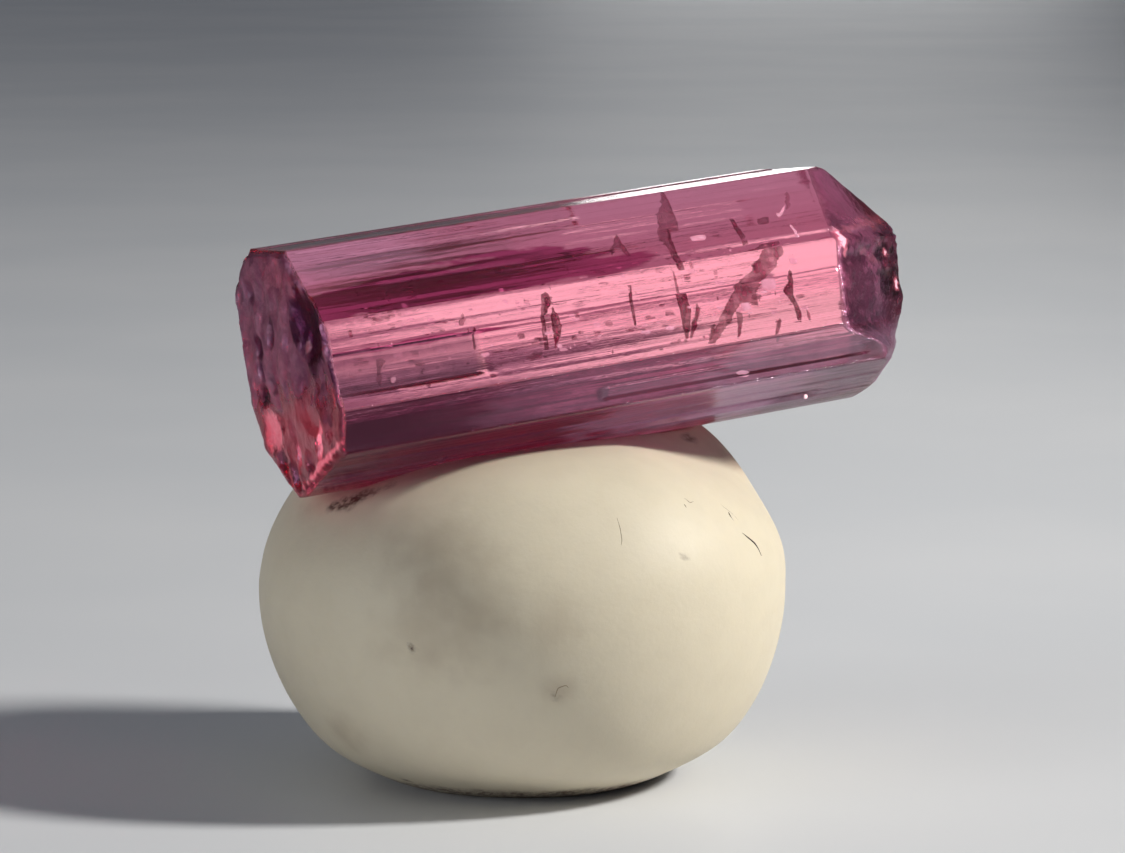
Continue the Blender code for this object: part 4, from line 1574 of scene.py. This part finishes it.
def make_camera():
    right, up, back = camera_axes()
    aim = right * CAMERA_AIM[0] + up * CAMERA_AIM[1] + Vector(AIM_SHIFT)
    data = bpy.data.cameras.new("camera")
    data.lens = CAMERA_LENS
    data.sensor_width = 36.0
    data.clip_start = 0.005
    data.clip_end = 20.0
    camera = bpy.data.objects.new("camera", data)
    turn = Matrix((right, up, back)).transposed().to_4x4()
    camera.matrix_world = Matrix.Translation((aim + back * CAMERA_DISTANCE) * MM) @ turn
    bpy.context.scene.collection.objects.link(camera)
    bpy.context.scene.camera = camera


def area_light(name, shape, width, height, power, colour, hidden):
    """An area light still to be placed, hidden from the camera and from other light paths."""
    data = bpy.data.lights.new(name, "AREA")
    data.shape = shape
    data.size = width
    data.size_y = height
    data.energy = power
    data.color = colour
    light = bpy.data.objects.new(name, data)
    for kind in ("camera", *hidden):
        setattr(light, "visible_" + kind, False)
    bpy.context.scene.collection.objects.link(light)
    return light


def make_lamps():
    middle = Vector(LAMP_AIM)
    for name, (azimuth, elevation, distance, size, power, colour, hidden) in LAMPS.items():
        lamp = area_light(name, "DISK", size, size, power, colour, hidden)
        lamp.location = compass(azimuth, elevation) * distance + middle
        lamp.rotation_euler = (middle - lamp.location).to_track_quat("-Z", "Y").to_euler()


def make_cards():
    right, _, back = camera_axes()
    away = Vector((-back.x, -back.y, 0.0)).normalized()
    facing = away.to_track_quat("Z", "Y").to_matrix().to_4x4()
    for name, (width, height, aside, rise, lean, power, colour) in CARDS.items():
        card = area_light(name, "RECTANGLE", width, height, power, colour, ("diffuse", "glossy"))
        place = away * CARD_DISTANCE + right * aside + Vector((0.0, 0.0, rise))
        turn = Matrix.Rotation(math.radians(-lean), 4, away)
        card.matrix_world = Matrix.Translation(place) @ turn @ facing


def make_sky():
    """A soft studio all round: dim overhead, pale at the horizon."""
    world = bpy.data.worlds.new("studio")
    bpy.context.scene.world = world
    world.use_nodes = True
    nodes, links = world.node_tree.nodes, world.node_tree.links
    coords = nodes.new("ShaderNodeTexCoord")
    height = nodes.new("ShaderNodeSeparateXYZ")
    ramp = nodes.new("ShaderNodeValToRGB")
    while len(ramp.color_ramp.elements) < len(SKY):
        ramp.color_ramp.elements.new(1.0)
    for element, (place, colour) in zip(ramp.color_ramp.elements, SKY):
        element.position = place
        element.color = (*colour, 1.0)
    links.new(coords.outputs["Generated"], height.inputs[0])
    links.new(height.outputs["Z"], ramp.inputs["Fac"])
    background = nodes["Background"]
    links.new(ramp.outputs["Color"], background.inputs["Color"])
    background.inputs["Strength"].default_value = 1.0


bpy.context.scene.view_settings.view_transform = "Standard"
make_camera()
make_table()
make_sky()
make_lamps()
make_cards()
make_crystal()
make_films("healed_cracks", CRACKS, crack_material(), seed=1)
make_films("bright_flakes", FLAKES, flake_material(), seed=60)
make_specks("dark_specks", DARK_SPECKS, 0.055, crack_material("dark_speck", 0.55), seed=5)
make_specks("pale_specks", PALE_SPECKS, 0.050, flake_material("pale_speck", 0.6), seed=8)
make_putty()
make_lint()
